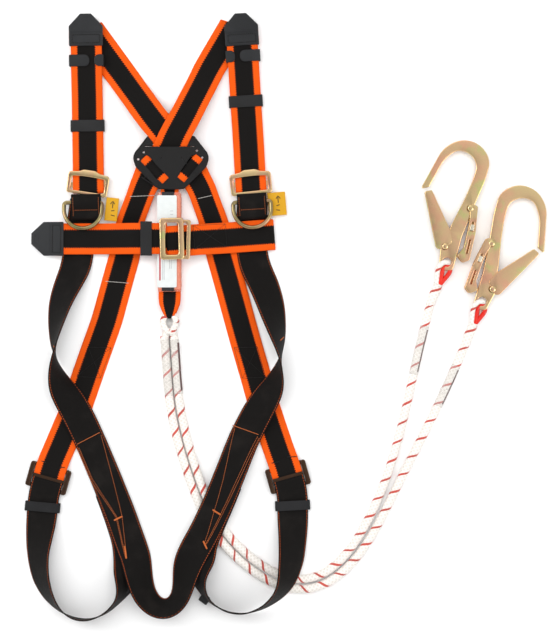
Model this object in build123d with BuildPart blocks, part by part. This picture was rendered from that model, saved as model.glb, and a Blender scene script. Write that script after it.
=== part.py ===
from build123d import *
import math
import os

# Full body safety harness with a twin lanyard, laid out front side up on a flat surface.
# X runs across the wearer, Y up towards the shoulders, Z up from the surface. Millimetres.

# --- driving sizes -------------------------------------------------------------------
webbing_width = 45.0
webbing_thickness = 2.0
clearance = 0.4  # between pieces that lie on each other
side_clearance = 1.0  # beside a strap inside a frame

shoulder_frame_length = 61.0
shoulder_frame_height = 38.0
leg_frame_length = 61.0
leg_frame_height = 37.0
frame_thickness = 4.0
frame_rail = 5.5
bar_thickness = 3.0
bar_width = 8.0

ring_wire = 6.0
ring_width = 61.0
ring_height = 47.0

keeper_wall = 1.4
cap_length = 47.0
cap_wall = 1.4
plate_width = 109.0
plate_height = 78.0
plate_thickness = 4.0
plate_under = 16.5  # height of the underside of the dorsal plate

pack_width = 37.0
pack_length = 144.0
pack_height = 19.0
sleeve_wall = 0.8

rope_diameter = 12.5
hook_plate = 8.0
hook_under = 6.0
cheek = 1.6
cheek_gap = 0.4
rivet_diameter = 6.0

os.makedirs("parts", exist_ok=True)


def save(piece, name):
    piece.part.label = name
    export_step(piece.part, "parts/" + name + ".step")


# --- webbing ------------------------------------------------------------------------
# A station of a strap: x, y, lift of its lowest edge, heading of its width in plan,
# lean of its width out of the floor, share of the full width that is spread flat.


def across_vector(heading, lean):
    flat = math.cos(math.radians(lean))
    return Vector(
        flat * math.cos(math.radians(heading)),
        flat * math.sin(math.radians(heading)),
        math.sin(math.radians(lean)),
    )


def centre_of(station, thickness):
    x, y, lift, _heading, lean = station[:5]
    share = station[5] if len(station) > 5 else 1.0
    rise = abs(math.sin(math.radians(lean))) * webbing_width * share / 2
    return Vector(x, y, lift + rise + thickness / 2)


def ribbon(stations, thickness=webbing_thickness):
    centres = [centre_of(station, thickness) for station in stations]
    last = len(stations) - 1
    with BuildPart(mode=Mode.PRIVATE) as strap:
        for index, station in enumerate(stations):
            before = centres[max(index - 1, 0)]
            after = centres[min(index + 1, last)]
            back = (centres[index] - before).normalized() if index else Vector(0, 0, 0)
            ahead = (after - centres[index]).normalized() if index < last else Vector(0, 0, 0)
            travel = (back + ahead).normalized()
            across = across_vector(station[3], station[4])
            square = travel - across * travel.dot(across)
            share = station[5] if len(station) > 5 else 1.0
            spread = webbing_width * share / max(square.length, 0.6)
            with BuildSketch(Plane(origin=centres[index], x_dir=across, z_dir=square)):
                Rectangle(spread, thickness)
        loft(ruled=True)
    return strap.part


# --- webbing through the dorsal plate --------------------------------------------------
plate_top = plate_under + plate_thickness
lower_pass = plate_under - 2 * (webbing_thickness + clearance) - 0.2
upper_pass = plate_under - webbing_thickness - clearance
lip_lift = plate_top + clearance
layer = webbing_thickness + clearance
dive_top = 256.2  # where the lower strap leaves the lip
dive_run = (lip_lift - lower_pass) / math.tan(math.radians(60))
layer_shift = layer * math.tan(math.radians(30))

left_back_strap = [
    (-119.5, 425, clearance, 17, 0),
    (-68, 354, clearance, 0, 0),
    (-25, 295, lip_lift - 1.2, 0, 0),
    (0, 262, lip_lift, 0, 0),
    (2, dive_top, lip_lift, 0, 0),
    (4, dive_top - dive_run, lower_pass, 0, 0),
    (30, 220, lower_pass, 0, 0),
    (49, 188, lower_pass, 0, 0, 0.82),
    (67, 140, clearance, 0, 0, 0.86),
    (79, 91, clearance, 0, 0, 0.86),
    (105, -3, clearance, 0, 0),
    (139, -124, clearance, 4, 0),
    (163, -196, clearance, 14, 0),
    (170, -214, 8.2, 15.8, 0),
    (174.5, -229.5, 8.2, 15.8, 0),
]
right_back_strap = [
    (99, 429, clearance, -18, 0),
    (61, 364, clearance, 0, 0),
    (28, 295, lip_lift + layer, 0, 0),
    (9, 260, lip_lift + layer, 0, 0),
    (7, dive_top - layer_shift, lip_lift + layer, 0, 0),
    (4, dive_top - dive_run - layer_shift, upper_pass, 0, 0),
    (-20, 218, upper_pass, 0, 0),
    (-36, 188, lower_pass, 0, 0, 0.74),
    (-57, 136, clearance, 0, 0, 0.76),
    (-63, 91, clearance, 0, 0),
    (-89, -3, clearance, 0, 0),
    (-136, -137, clearance, -4, 0),
    (-163, -200, clearance, -14, 0),
    (-169, -216, 8.2, -15.8, 0),
    (-173.3, -231.5, 8.2, -15.8, 0),
]
with BuildPart() as back_strap_left:
    add(ribbon(left_back_strap))
save(back_strap_left, "back_strap_left")
with BuildPart() as back_strap_right:
    add(ribbon(right_back_strap))
save(back_strap_right, "back_strap_right")

# --- dorsal plate and its ring -----------------------------------------------------------
plate_x = 5.5
plate_y = 225.0
slot_low = 248.3
slot_high = 257.0
half = plate_width / 2
low = -plate_height / 2
high = plate_height / 2
with BuildPart() as dorsal_plate:
    with BuildSketch(Plane.XY.offset(plate_under)):
        with BuildLine(Location((plate_x, plate_y))):
            FilletPolyline(
                (-34, high),
                (34, high),
                (half + 2, 10),
                (half - 3, -6),
                (19, low + 1),
                (0, low),
                (-19, low + 1),
                (3 - half, -6),
                (-half - 2, 10),
                radius=[4, 4, 16, 16, 8, 30, 8, 16, 16],
                close=True,
            )
        make_face()
        with Locations((plate_x - 2, (slot_low + slot_high) / 2)):
            Rectangle(1.6 * webbing_width, slot_high - slot_low, mode=Mode.SUBTRACT)
        with Locations((-20.5, 217.5)):
            SlotOverall(42, 13, rotation=-50, mode=Mode.SUBTRACT)
        with Locations((32, 219.5)):
            SlotOverall(38, 13, rotation=55, mode=Mode.SUBTRACT)
        with Locations((-34, 240), (-42, 230), (43, 242.5), (51, 232.5)):
            Circle(1.7, mode=Mode.SUBTRACT)
    extrude(amount=plate_thickness)
    fillet(dorsal_plate.faces().sort_by(Axis.Z)[-1].outer_wire().edges(), 1.0)
save(dorsal_plate, "dorsal_plate")

back_ring_wire = 8.0
back_ring_x = 3.0
back_ring_lift = 2.6  # leaves room below for the webbing of the absorber
with BuildPart() as dorsal_ring:
    with BuildLine(Plane.XY.offset(back_ring_wire / 2 + back_ring_lift)):
        ring_path = FilletPolyline(
            (back_ring_x - 29, 234),
            (back_ring_x + 29, 234),
            (back_ring_x + 29, 204),
            (back_ring_x + 15, 193),
            (back_ring_x - 15, 193),
            (back_ring_x - 29, 204),
            radius=[7, 7, 10, 10, 10, 10],
            close=True,
        )
    with BuildSketch(Plane(ring_path @ 0, z_dir=ring_path % 0)):
        Circle(back_ring_wire / 2)
    sweep()
save(dorsal_ring, "dorsal_ring")

# --- shoulder assemblies -------------------------------------------------------------------
# Each is built in its own plane: origin under the floating bar, local Y up the strap.
strap_lift = layer + clearance  # the front strap lies on the back strap at the shoulder
bar_lift = strap_lift + layer
over_bar = bar_lift + bar_thickness + clearance
upper_lift = strap_lift + layer
frame_lift = over_bar + 0.6
shoulder_lift = strap_lift + 1.8  # over the back strap and the clip
cap_gap = layer + 2.2
fold_length = 232.0
free_length = 226.0
cap_root = 202.0
window_width = webbing_width + 2 * side_clearance
frame_tall = shoulder_frame_height
front_bar = frame_rail


def slab(plane, x_size, y_size, centre, low_z, high_z):
    with BuildPart(mode=Mode.PRIVATE) as block:
        with BuildSketch(plane.offset(low_z)):
            with Locations(centre):
                Rectangle(x_size, y_size)
        extrude(amount=high_z - low_z)
    return block.part


def strap_profile(plane, corners, width):
    """A strap of any side shape: corners are (local y, z) round its edge."""
    side = Plane(
        origin=plane.origin - plane.x_dir * (width / 2),
        x_dir=plane.y_dir,
        z_dir=plane.x_dir,
    )
    with BuildPart(mode=Mode.PRIVATE) as strap:
        with BuildSketch(side):
            with BuildLine():
                Polyline(*corners, close=True)
            make_face()
        extrude(amount=width)
    return strap.part


def keeper_band(plane, y_centre, length, low_z, high_z, wall=keeper_wall):
    """A flat band round a strap, with room for the layers inside it."""
    inner_low = low_z - clearance
    inner_high = high_z + clearance
    outer_width = window_width + 2 * wall
    outer = slab(plane, outer_width, length, (0, y_centre), inner_low - wall, inner_high + wall)
    inner = slab(plane, window_width - 1, length + 2, (0, y_centre), inner_low, inner_high)
    with BuildPart(mode=Mode.PRIVATE) as band:
        add(outer)
        add(inner, mode=Mode.SUBTRACT)
    return band.part


def end_cap(plane, root_y, direction, strap_low):
    """A moulded cover over a strap end: square base with box stitch, then a bevelled nose."""
    base_width = webbing_width + 2 * cap_wall + 1
    mid = strap_low + webbing_thickness / 2
    sections = [
        (0, base_width, 4.8),
        (20, base_width, 4.8),
        (20.5, base_width, 5.6),
        (28, base_width - 1, 5.6),
        (cap_length, 15, 3.6),
    ]
    with BuildPart(mode=Mode.PRIVATE) as cover:
        for pair in zip(sections[:-1], sections[1:]):
            for along, wide, tall in pair:
                origin = plane.from_local_coords(Vector(0, root_y + direction * along, mid))
                with BuildSketch(Plane(origin=origin, x_dir=plane.x_dir, z_dir=plane.y_dir * direction)):
                    Rectangle(wide, tall)
            loft(ruled=True)
        pocket_y = root_y + direction * 12
        pocket = slab(
            plane,
            webbing_width + 2 * clearance,
            26,
            (0, pocket_y),
            strap_low - clearance,
            strap_low + webbing_thickness + clearance,
        )
        add(pocket, mode=Mode.SUBTRACT)
    return cover.part


def floor_plane(x, y, turn):
    angle = math.radians(turn)
    return Plane(origin=(x, y, 0), x_dir=(math.cos(angle), math.sin(angle), 0), z_dir=(0, 0, 1))


thin = webbing_thickness
wrap_back = 7.5  # the strap turns round the bar this far below its centre
shoulder_corners = [
    (fold_length, shoulder_lift),
    (fold_length, shoulder_lift + thin),
    (160, shoulder_lift + thin),
    (135, strap_lift + thin),
    (-4.5, strap_lift + thin),
    (-5, strap_lift + thin + clearance),
    (-5, over_bar),
    (5, over_bar),
    (20, upper_lift),
    (135, upper_lift),
    (160, shoulder_lift + layer),
    (cap_root - 6, shoulder_lift + layer),
    (cap_root, shoulder_lift + cap_gap),
    (free_length, shoulder_lift + cap_gap),
    (free_length, shoulder_lift + cap_gap + thin),
    (cap_root, shoulder_lift + cap_gap + thin),
    (cap_root - 6, shoulder_lift + layer + thin),
    (160, shoulder_lift + layer + thin),
    (135, upper_lift + thin),
    (20.5, upper_lift + thin),
    (5.5, over_bar + thin),
    (-6, over_bar + thin),
    (-wrap_back, over_bar + thin - 1),
    (-wrap_back, strap_lift + 1),
    (-6.5, strap_lift),
    (135, strap_lift),
    (160, shoulder_lift),
]

ring_z = frame_lift + 3.0
web_under = frame_lift - layer
web_top = ring_z + ring_wire / 2 + clearance


def d_ring(plane, bar_y, tilt):
    """Straight bar under the web and a round bow below it, tilted up at its free end."""
    pivot = plane.from_local_coords(Vector(0, bar_y, ring_z))
    lower = Plane(origin=pivot, x_dir=plane.x_dir, z_dir=(0, 0, 1)).rotated((-tilt, 0, 0))
    reach = ring_width / 2 - ring_wire / 2
    drop = ring_height - ring_wire
    with BuildPart(mode=Mode.PRIVATE) as ring:
        with BuildLine(lower):
            path = FilletPolyline(
                (-reach, 0),
                (reach, 0),
                (reach - 0.5, 11 - drop),
                (0.55 * reach, -drop),
                (-0.55 * reach, -drop),
                (0.5 - reach, 11 - drop),
                radius=[5, 5, 10, 9, 9, 10],
                close=True,
            )
        with BuildSketch(Plane(path @ 0, z_dir=path % 0)):
            Circle(ring_wire / 2)
        sweep()
    return ring.part


sides = {
    "left": {"bar": (-115.6, 194), "turn": 0.9, "keeper": 86, "clip": 181, "mirror": 1},
    "right": {"bar": (121.3, 195), "turn": 3.5, "keeper": 121, "clip": 187, "mirror": -1},
}
ring_drop = 24.0  # from the floating bar down to the ring's bar
frame_bottom = -14.0

for side, place in sides.items():
    base = floor_plane(*place["bar"], place["turn"])

    with BuildPart() as shoulder_strap:
        add(strap_profile(base, shoulder_corners, webbing_width))
    save(shoulder_strap, "shoulder_strap_" + side)

    with BuildPart() as shoulder_cap:
        add(end_cap(base, cap_root, 1, shoulder_lift + cap_gap))
    save(shoulder_cap, "shoulder_end_cap_" + side)

    with BuildPart() as shoulder_keeper:
        add(keeper_band(base, place["keeper"], 17, strap_lift, upper_lift + thin))
    save(shoulder_keeper, "shoulder_keeper_" + side)

    # spring clip: a band left open at the front, with a wide and a narrow rounded tab
    with BuildPart() as strap_clip:
        clip_high = shoulder_lift + layer + thin
        add(keeper_band(base, place["clip"], 16, shoulder_lift, clip_high))
        opening_x = 8 * place["mirror"]
        add(
            slab(base, 7, 20, (opening_x, place["clip"]), clip_high + 0.1, clip_high + 10),
            mode=Mode.SUBTRACT,
        )
    save(strap_clip, "strap_clip_" + side)

    # adjuster frame: curved front bar, two rails and a lower bar that carries the ring web
    frame_centre_y = (frame_tall / 2) + frame_bottom - front_bar / 2
    with BuildPart() as shoulder_buckle:
        with BuildSketch(base.offset(frame_lift)):
            with Locations((0, frame_centre_y)):
                RectangleRounded(shoulder_frame_length, frame_tall, 5)
                Rectangle(window_width, frame_tall - 2 * front_bar, mode=Mode.SUBTRACT)
        extrude(amount=frame_thickness)
        with BuildSketch(base.offset(frame_lift + frame_thickness)):
            with Locations((0, frame_centre_y + frame_tall / 2 - front_bar / 2)):
                SlotOverall(0.8 * shoulder_frame_length, front_bar)
        extrude(amount=1.2)
    save(shoulder_buckle, "shoulder_buckle_" + side)

    with BuildPart() as floating_bar:
        add(slab(base, shoulder_frame_length - 6, bar_width, (0, 0), bar_lift, bar_lift + bar_thickness))
    save(floating_bar, "shoulder_bar_" + side)

    # ring web: a sewn loop round the lower bar of the frame and the bar of the ring
    lower_bar_y = frame_bottom
    ring_y = lower_bar_y - ring_drop + 12
    low_edge = ring_y - 9
    high_edge = lower_bar_y + front_bar / 2 + clearance + thin
    frame_over = frame_lift + frame_thickness + clearance
    outer_corners = [
        (high_edge, web_under),
        (high_edge, frame_over + thin),
        (ring_y + 4, web_top + thin),
        (ring_y - 4, web_top + thin),
        (low_edge - 10, web_under + layer + thin),
        (low_edge - 10, web_under),
    ]
    inner_corners = [
        (high_edge - thin, web_under + thin),
        (high_edge - thin, frame_over),
        (ring_y + 3.5, web_top),
        (ring_y - 3.5, web_top),
        (low_edge - 9, web_under + layer),
        (low_edge - 9, web_under + thin),
    ]
    with BuildPart() as ring_web:
        add(strap_profile(base, outer_corners, webbing_width))
        add(strap_profile(base, inner_corners, webbing_width + 2), mode=Mode.SUBTRACT)
    save(ring_web, "ring_web_" + side)

    with BuildPart() as front_ring:
        add(d_ring(base, ring_y, 8))
    save(front_ring, "front_ring_" + side)

# --- cross sliders ----------------------------------------------------------------------------
slider_lift = webbing_thickness + 1 + 0.6
slider_height = 3.6
slider_width = 61.0
slider_tall = 63.0
slider_bar = 6.0
chest_right_turn = 4.2  # the right half of the chest strap runs slightly uphill
slider_places = {"left": (-131, 114.5, 0), "right": (122.5, 117, chest_right_turn)}
chest_lift = slider_lift + slider_height + clearance
for side, (x, y, turn) in slider_places.items():
    with BuildPart() as slider:
        with BuildSketch(floor_plane(x, y, turn).offset(slider_lift)):
            RectangleRounded(slider_width, slider_tall, 4)
            Rectangle(slider_width - 2 * slider_bar, slider_tall - 2 * slider_bar, mode=Mode.SUBTRACT)
        extrude(amount=slider_height)
    save(slider, "cross_slider_" + side)

# --- chest strap ------------------------------------------------------------------------------
chest_y = 114.8
arch_lift = pack_height + 2.4
left_bar_x = slider_places["left"][0] - slider_width / 2 + slider_bar / 2
right_bar_x = slider_places["right"][0] + slider_width / 2 - slider_bar / 2
chest_plane = Plane(origin=(0, chest_y, 0), x_dir=(0, -1, 0), z_dir=(0, 0, 1))
# side shape of each half, as (x, z): the layers wrap the outer bar of their slider
under_slider = slider_lift - layer + 0.2
left_end = left_bar_x - slider_bar / 2 - 1
tuck = slider_bar
chest_left_corners = [
    (left_end + tuck, under_slider),
    (left_end + tuck, under_slider + thin),
    (left_end + 0.5, under_slider + thin),
    (left_end + 0.5, chest_lift),
    (-92, chest_lift),
    (-50, arch_lift),
    (-4, arch_lift),
    (-4, arch_lift + thin),
    (-50.5, arch_lift + thin),
    (-92.5, chest_lift + thin),
    (left_end - 0.5, chest_lift + thin),
    (left_end - 1.6, chest_lift + thin - 1),
    (left_end - 1.6, under_slider),
]
with BuildPart() as chest_strap_left:
    add(strap_profile(chest_plane, chest_left_corners, webbing_width))
save(chest_strap_left, "chest_strap_left")

# the free end returns over the left half to its cap beyond the slider
free_lift = chest_lift + layer
arch_free = arch_lift + layer
chest_cap_root = -151
cap_lift = free_lift + 1.8
chest_free_corners = [
    (chest_cap_root - 24, cap_lift),
    (chest_cap_root, cap_lift),
    (chest_cap_root + 4, free_lift),
    (-92.6, free_lift),
    (-50.6, arch_free),
    (-4, arch_free),
    (-4, arch_free + thin),
    (-51, arch_free + thin),
    (-93, free_lift + thin),
    (chest_cap_root + 4, free_lift + thin),
    (chest_cap_root, cap_lift + thin),
    (chest_cap_root - 24, cap_lift + thin),
]
with BuildPart() as chest_free_end:
    add(strap_profile(chest_plane, chest_free_corners, webbing_width))
save(chest_free_end, "chest_free_end")
with BuildPart() as chest_cap:
    add(end_cap(chest_plane, chest_cap_root, -1, cap_lift))
save(chest_cap, "chest_end_cap")

right_end = right_bar_x + slider_bar / 2 + 1
chest_right_corners = [
    (right_end - tuck, under_slider),
    (right_end - tuck, under_slider + thin),
    (right_end - 0.5, under_slider + thin),
    (right_end - 0.5, chest_lift),
    (84, chest_lift),
    (46, arch_lift),
    (26, arch_lift),
    (26, arch_lift + thin),
    (46.5, arch_lift + thin),
    (84.5, chest_lift + thin),
    (right_end + 0.5, chest_lift + thin),
    (right_end + 1.6, chest_lift + thin - 1),
    (right_end + 1.6, under_slider),
]
with BuildPart() as chest_strap_right:
    right_plane = floor_plane(0, chest_y - 4.8, chest_right_turn - 90)
    add(strap_profile(right_plane, chest_right_corners, webbing_width))
save(chest_strap_right, "chest_strap_right")

with BuildPart() as chest_keeper:
    keeper_plane = Plane(origin=(-30, chest_y, 0), x_dir=(0, -1, 0), z_dir=(0, 0, 1))
    add(keeper_band(keeper_plane, 0, 16, arch_lift, arch_free + thin))
save(chest_keeper, "chest_keeper")

# pass through buckle: the plate on the right half slips through the frame on the left half
plate_lift = arch_free + thin + clearance
with BuildPart() as chest_buckle_plate:
    with BuildSketch(Plane.XY.offset(plate_lift)):
        with Locations((13, chest_y)):
            RectangleRounded(47, 56, 4)
            Rectangle(26, webbing_width - 8, mode=Mode.SUBTRACT)
    extrude(amount=3)
save(chest_buckle_plate, "chest_buckle_plate")
with BuildPart() as chest_buckle_frame:
    with BuildSketch(Plane.XY.offset(plate_lift + 3 + clearance)):
        with Locations((7.5, chest_y - 0.5)):
            RectangleRounded(35, 60.5, 4)
            Rectangle(17.5, webbing_width - 0.5, mode=Mode.SUBTRACT)
    extrude(amount=frame_thickness)
    fillet(chest_buckle_frame.faces().sort_by(Axis.Z)[-1].outer_wire().edges(), 1.2)
save(chest_buckle_frame, "chest_buckle_frame")

# --- side straps and the strap under the seat ---------------------------------------------------
side_lift = 1.0
over_back = layer + clearance + 1.0
left_side_strap = [
    (-120, 174, side_lift, 0, 0),
    (-124, 146, side_lift, 0, 0),
    (-131, 96, side_lift, 0, 0),
    (-133, 80, side_lift, 0, 0),
    (-137, 66, side_lift, 0, 8),
    (-145, 48, side_lift, 0, 18),
    (-156, 20, side_lift, 0, 35),
    (-163, -15, side_lift, 2, 58),
    (-166, -45, side_lift, 4, 78),
    (-163, -72, over_back, 6, 104),
    (-154, -97, over_back, 9, 132),
    (-142, -120, over_back, 13, 156),
    (-127, -150, over_back, 18, 174),
    (-112, -183, over_back, 22, 180),
    (-90, -234, over_back, 22, 180),
]
over_ropes = rope_diameter + 1.5
right_side_strap = [
    (124, 174, side_lift, 180, 0),
    (122.5, 146, side_lift, 180, 0),
    (122.5, 96, side_lift, 180, 0),
    (126, 80, side_lift, 180, 0),
    (131, 66, side_lift, 180, 6),
    (140, 48, side_lift, 180, 12),
    (150, 20, side_lift, 180, 24),
    (159, -20, side_lift, 178, 54),
    (164, -48, side_lift, 176, 78),
    (162, -72, over_back, 172, 104),
    (155, -95, over_back, 168, 130),
    (145, -112, over_back, 164, 150),
    (128, -143, over_back, 160, 172),
    (112, -175, over_back + 2, 158, 180),
    (95.2, -217, over_ropes + layer + 1, 158, 180),
    (92, -225, over_ropes + layer + 1, 158, 180),
]
seat_strap = [
    (-90, -234, over_back, 22, 180),
    (-70, -285, over_back, 22, 180),
    (-57, -322, over_back, 24, 176),
    (-45, -352, 1.5, 18, 160),
    (-41, -378, clearance, 10, 144),
    (-34, -402, clearance, 22, 134),
    (-20, -419, clearance, 48, 124),
    (-3, -425, clearance, 84, 120),
    (11, -418, clearance, 124, 124),
    (20, -402, clearance, 152, 130),
    (24, -382, 3, 165, 140),
    (28, -362, 9, 162, 158),
    (38, -340, over_ropes + layer + 1, 156, 174),
    (53, -314, over_ropes + layer + 1, 156, 180),
    (74, -269, over_ropes + layer + 1, 158, 180),
    (92, -225, over_ropes + layer + 1, 158, 180),
]
for name, stations in (
    ("side_strap_left", left_side_strap),
    ("side_strap_right", right_side_strap),
    ("seat_strap", seat_strap),
):
    with BuildPart() as soft_strap:
        add(ribbon(stations))
    save(soft_strap, name)

# --- leg loops ----------------------------------------------------------------------------------
left_loop = [
    (-174.6, -236.3, 8.2, -15.8, 0),
    (-179.2, -252.7, 8.2, -15.8, 0),
    (-182, -266, 2.2, -10, 0),
    (-183.5, -286, 2.2, -6, 2),
    (-187, -326, clearance, 2, 28),
    (-188, -347, clearance, 8, 40),
    (-184, -379, clearance, 16, 50),
    (-173, -404, clearance, 30, 62),
    (-156, -425, clearance, 52, 76),
    (-135, -437, clearance, 72, 84),
    (-112, -439, clearance, 96, 84),
    (-87, -428, clearance, 118, 83),
    (-68, -409, clearance, 138, 80),
    (-61, -394, clearance, 155, 62),
    (-57, -377, clearance, 178, 40),
    (-60, -355, clearance, 194, 16),
    (-68, -328, clearance, 200, 0),
    (-80, -292, clearance, 202, 0),
    (-98, -244, clearance, 202, 0),
]
right_loop = [
    (176.4, -234.3, 8.2, 195.8, 0),
    (180.8, -250.3, 8.2, 195.8, 0),
    (182, -264, 2.2, 190, 0),
    (182.5, -284, 2.2, 184, 2),
    (183, -312, 2.2, 180, 22),
    (181, -352, 8, 176, 36),
    (174, -383, over_ropes, 166, 54),
    (162, -402, over_ropes, 142, 68),
    (140, -419, over_ropes, 116, 78),
    (112, -430, 2, 98, 82),
    (86, -427, clearance, 76, 82),
    (62, -413, clearance, 52, 80),
    (50, -397, clearance, 34, 74),
    (44, -376, 3, 8, 56),
    (48, -352, 7, -12, 24),
    (57, -328, over_ropes - 0.4, -22, 0),
    (72, -290, over_ropes, -22, 0),
    (94, -236, over_ropes, -22, 0),
]
for name, stations in (("leg_loop_left", left_loop), ("leg_loop_right", right_loop)):
    with BuildPart() as leg_loop:
        add(ribbon(stations))
    save(leg_loop, name)

leg_places = {
    "left": {"centre": (-174, -233.8), "turn": -15.8, "keeper": (-182.8, -276), "keeper_turn": -5},
    "right": {"centre": (175.4, -232), "turn": 15.8, "keeper": (182.2, -274), "keeper_turn": 3},
}
leg_keeper_length = 14.0
leg_frame_lift = 8.2 - clearance - frame_thickness
for side, place in leg_places.items():
    base = floor_plane(*place["centre"], place["turn"])
    with BuildPart() as leg_buckle:
        with BuildSketch(base.offset(leg_frame_lift)):
            RectangleRounded(leg_frame_length, leg_frame_height, 3)
            Rectangle(window_width, leg_frame_height - 2 * frame_rail, mode=Mode.SUBTRACT)
        extrude(amount=frame_thickness)
        # raised ears beside the webbing
        with BuildSketch(base.offset(leg_frame_lift + frame_thickness)):
            ear = (leg_frame_length - window_width) / 2
            with Locations((-(window_width + ear) / 2, 0), ((window_width + ear) / 2, 0)):
                RectangleRounded(ear, leg_frame_height, 2)
        extrude(amount=1.6)
    save(leg_buckle, "leg_buckle_" + side)
    with BuildPart() as leg_bar:
        add(slab(base, window_width - 1, bar_width, (0, 0), leg_frame_lift + 0.8, leg_frame_lift + 3.8))
    save(leg_bar, "leg_bar_" + side)
    keeper_base = floor_plane(*place["keeper"], place["keeper_turn"])
    with BuildPart() as leg_keeper:
        add(keeper_band(keeper_base, 0, leg_keeper_length, 2, 6.4))
    save(leg_keeper, "leg_keeper_" + side)

# --- shock absorber ------------------------------------------------------------------------------
pack_x = 3.0
pack_low_y = 38.0
pack_centre = (pack_x, pack_low_y + pack_length / 2)
pack_lift = 1.2
with BuildPart() as absorber_pack:
    with BuildSketch(Plane.XY.offset(pack_lift)):
        with Locations(pack_centre):
            RectangleRounded(pack_width - 4, pack_length - 6, 3)
    extrude(amount=pack_height - 2.4)
    fillet(absorber_pack.edges().filter_by(Axis.Y), 4)
save(absorber_pack, "absorber_pack")
with BuildPart() as absorber_sleeve:
    shell_width = pack_width - 4 + 2 * (sleeve_wall + clearance)
    shell_height = pack_height - 2.4 + 2 * (sleeve_wall + 0.3)
    side_plane = Plane(
        origin=(pack_x, pack_low_y, pack_lift + (pack_height - 2.4) / 2), x_dir=(-1, 0, 0), z_dir=(0, 1, 0)
    )
    with BuildSketch(side_plane):
        RectangleRounded(shell_width, shell_height, 5)
        RectangleRounded(shell_width - 2 * sleeve_wall, shell_height - 2 * sleeve_wall, 4.2, mode=Mode.SUBTRACT)
    extrude(amount=pack_length)
save(absorber_sleeve, "absorber_sleeve")

# sewn webbing loop that leaves the pack below and takes the rope eyes
loop_width = 32.0
tip_width = 9.0
loop_top = pack_low_y + 2.6
tip_y = 0.0
middle = pack_lift + (pack_height - 2.4) / 2
eye_thick = 6.6
loop_half = eye_thick + 1.5 * clearance
loop_plane = Plane(origin=(pack_x, 0, 0), x_dir=(1, 0, 0), z_dir=(0, 0, 1))
outer_loop = [
    (loop_top, middle - 3),
    (loop_top, middle + 3),
    (20, middle + loop_half + thin),
    (tip_y + 3, middle + loop_half + thin),
    (tip_y, middle + 4),
    (tip_y, middle - 4),
    (tip_y + 3, middle - loop_half - thin),
    (20, middle - loop_half - thin),
]
inner_loop = [
    (loop_top - 8, middle),
    (20, middle + loop_half),
    (tip_y + 4, middle + loop_half),
    (tip_y + thin, middle + 3.5),
    (tip_y + thin, middle - 3.5),
    (tip_y + 4, middle - loop_half),
    (20, middle - loop_half),
]
with BuildPart() as absorber_loop:
    add(strap_profile(loop_plane, outer_loop, loop_width))
    add(strap_profile(loop_plane, inner_loop, loop_width + 2), mode=Mode.SUBTRACT)
    with BuildSketch(loop_plane):
        with BuildLine():
            Polyline(
                (-loop_width / 2, loop_top),
                (loop_width / 2, loop_top),
                (loop_width / 2, 18),
                (tip_width / 2, 7),
                (tip_width / 2, -1),
                (-tip_width / 2, -1),
                (-tip_width / 2, 7),
                (-loop_width / 2, 18),
                close=True,
            )
        make_face()
    extrude(amount=2 * pack_height, mode=Mode.INTERSECT)
save(absorber_loop, "absorber_loop")

# webbing that hangs the pack from the lower bar of the dorsal ring
hang_width = 26.0
hang_low = pack_low_y + pack_length - 2.6
ring_bar_y = 193.0
ring_middle = back_ring_lift + back_ring_wire / 2
hang_half = back_ring_wire / 2 + clearance
hang_thin = 1.7
hang_outer = [
    (hang_low, middle - 3),
    (ring_bar_y - 5, ring_middle - hang_half - hang_thin),
    (ring_bar_y + 3, ring_middle - hang_half - hang_thin),
    (ring_bar_y + 6, ring_middle - 3),
    (ring_bar_y + 6, ring_middle + 3),
    (ring_bar_y + 3, ring_middle + hang_half + hang_thin),
    (ring_bar_y - 5, ring_middle + hang_half + hang_thin),
    (hang_low, middle + 3),
]
hang_inner = [
    (hang_low + 3, middle - 2),
    (ring_bar_y - 4.6, ring_middle - hang_half),
    (ring_bar_y + 2.4, ring_middle - hang_half),
    (ring_bar_y + 4.6, ring_middle - 2.6),
    (ring_bar_y + 4.6, ring_middle + 2.6),
    (ring_bar_y + 2.4, ring_middle + hang_half),
    (ring_bar_y - 4.6, ring_middle + hang_half),
]
with BuildPart() as absorber_hanger:
    add(strap_profile(loop_plane, hang_outer, hang_width))
    add(strap_profile(loop_plane, hang_inner, hang_width + 2), mode=Mode.SUBTRACT)
save(absorber_hanger, "absorber_hanger")

# --- ropes -----------------------------------------------------------------------------------------
rope_height = rope_diameter / 2 + 0.1
inner_rope = [
    (9, -26.6),
    (11, -50),
    (13, -84),
    (17, -124),
    (25, -165),
    (36, -205),
    (51, -249),
    (69, -290),
    (93, -324),
    (127, -355),
    (163, -376),
    (196, -383),
    (229, -374),
    (262, -345),
    (291, -299),
    (316, -243),
    (334, -187),
    (349, -127),
    (362, -66),
    (373, -20),
    (383, 20),
]
outer_rope = [
    (-5, -26.6),
    (-3, -50),
    (-0.5, -85),
    (3, -127),
    (11.5, -169),
    (23, -210),
    (38.5, -255),
    (57.5, -298),
    (84, -335),
    (120, -368),
    (159, -390.5),
    (197, -398),
    (236, -387.5),
    (273, -355),
    (301, -313),
    (324, -268),
    (347, -221),
    (373, -171),
    (398, -120),
    (418, -77),
    (434, -39),
]


def turn_radii(points):
    """Each arc takes 0.45 of the shorter run beside its corner."""
    radii = []
    for before, corner, after in zip(points[:-2], points[1:-1], points[2:]):
        arriving = Vector(*corner) - Vector(*before)
        leaving = Vector(*after) - Vector(*corner)
        turn = math.radians(arriving.get_angle(leaving))
        radii.append(0.45 * min(arriving.length, leaving.length) / math.tan(turn / 2))
    return radii


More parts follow.
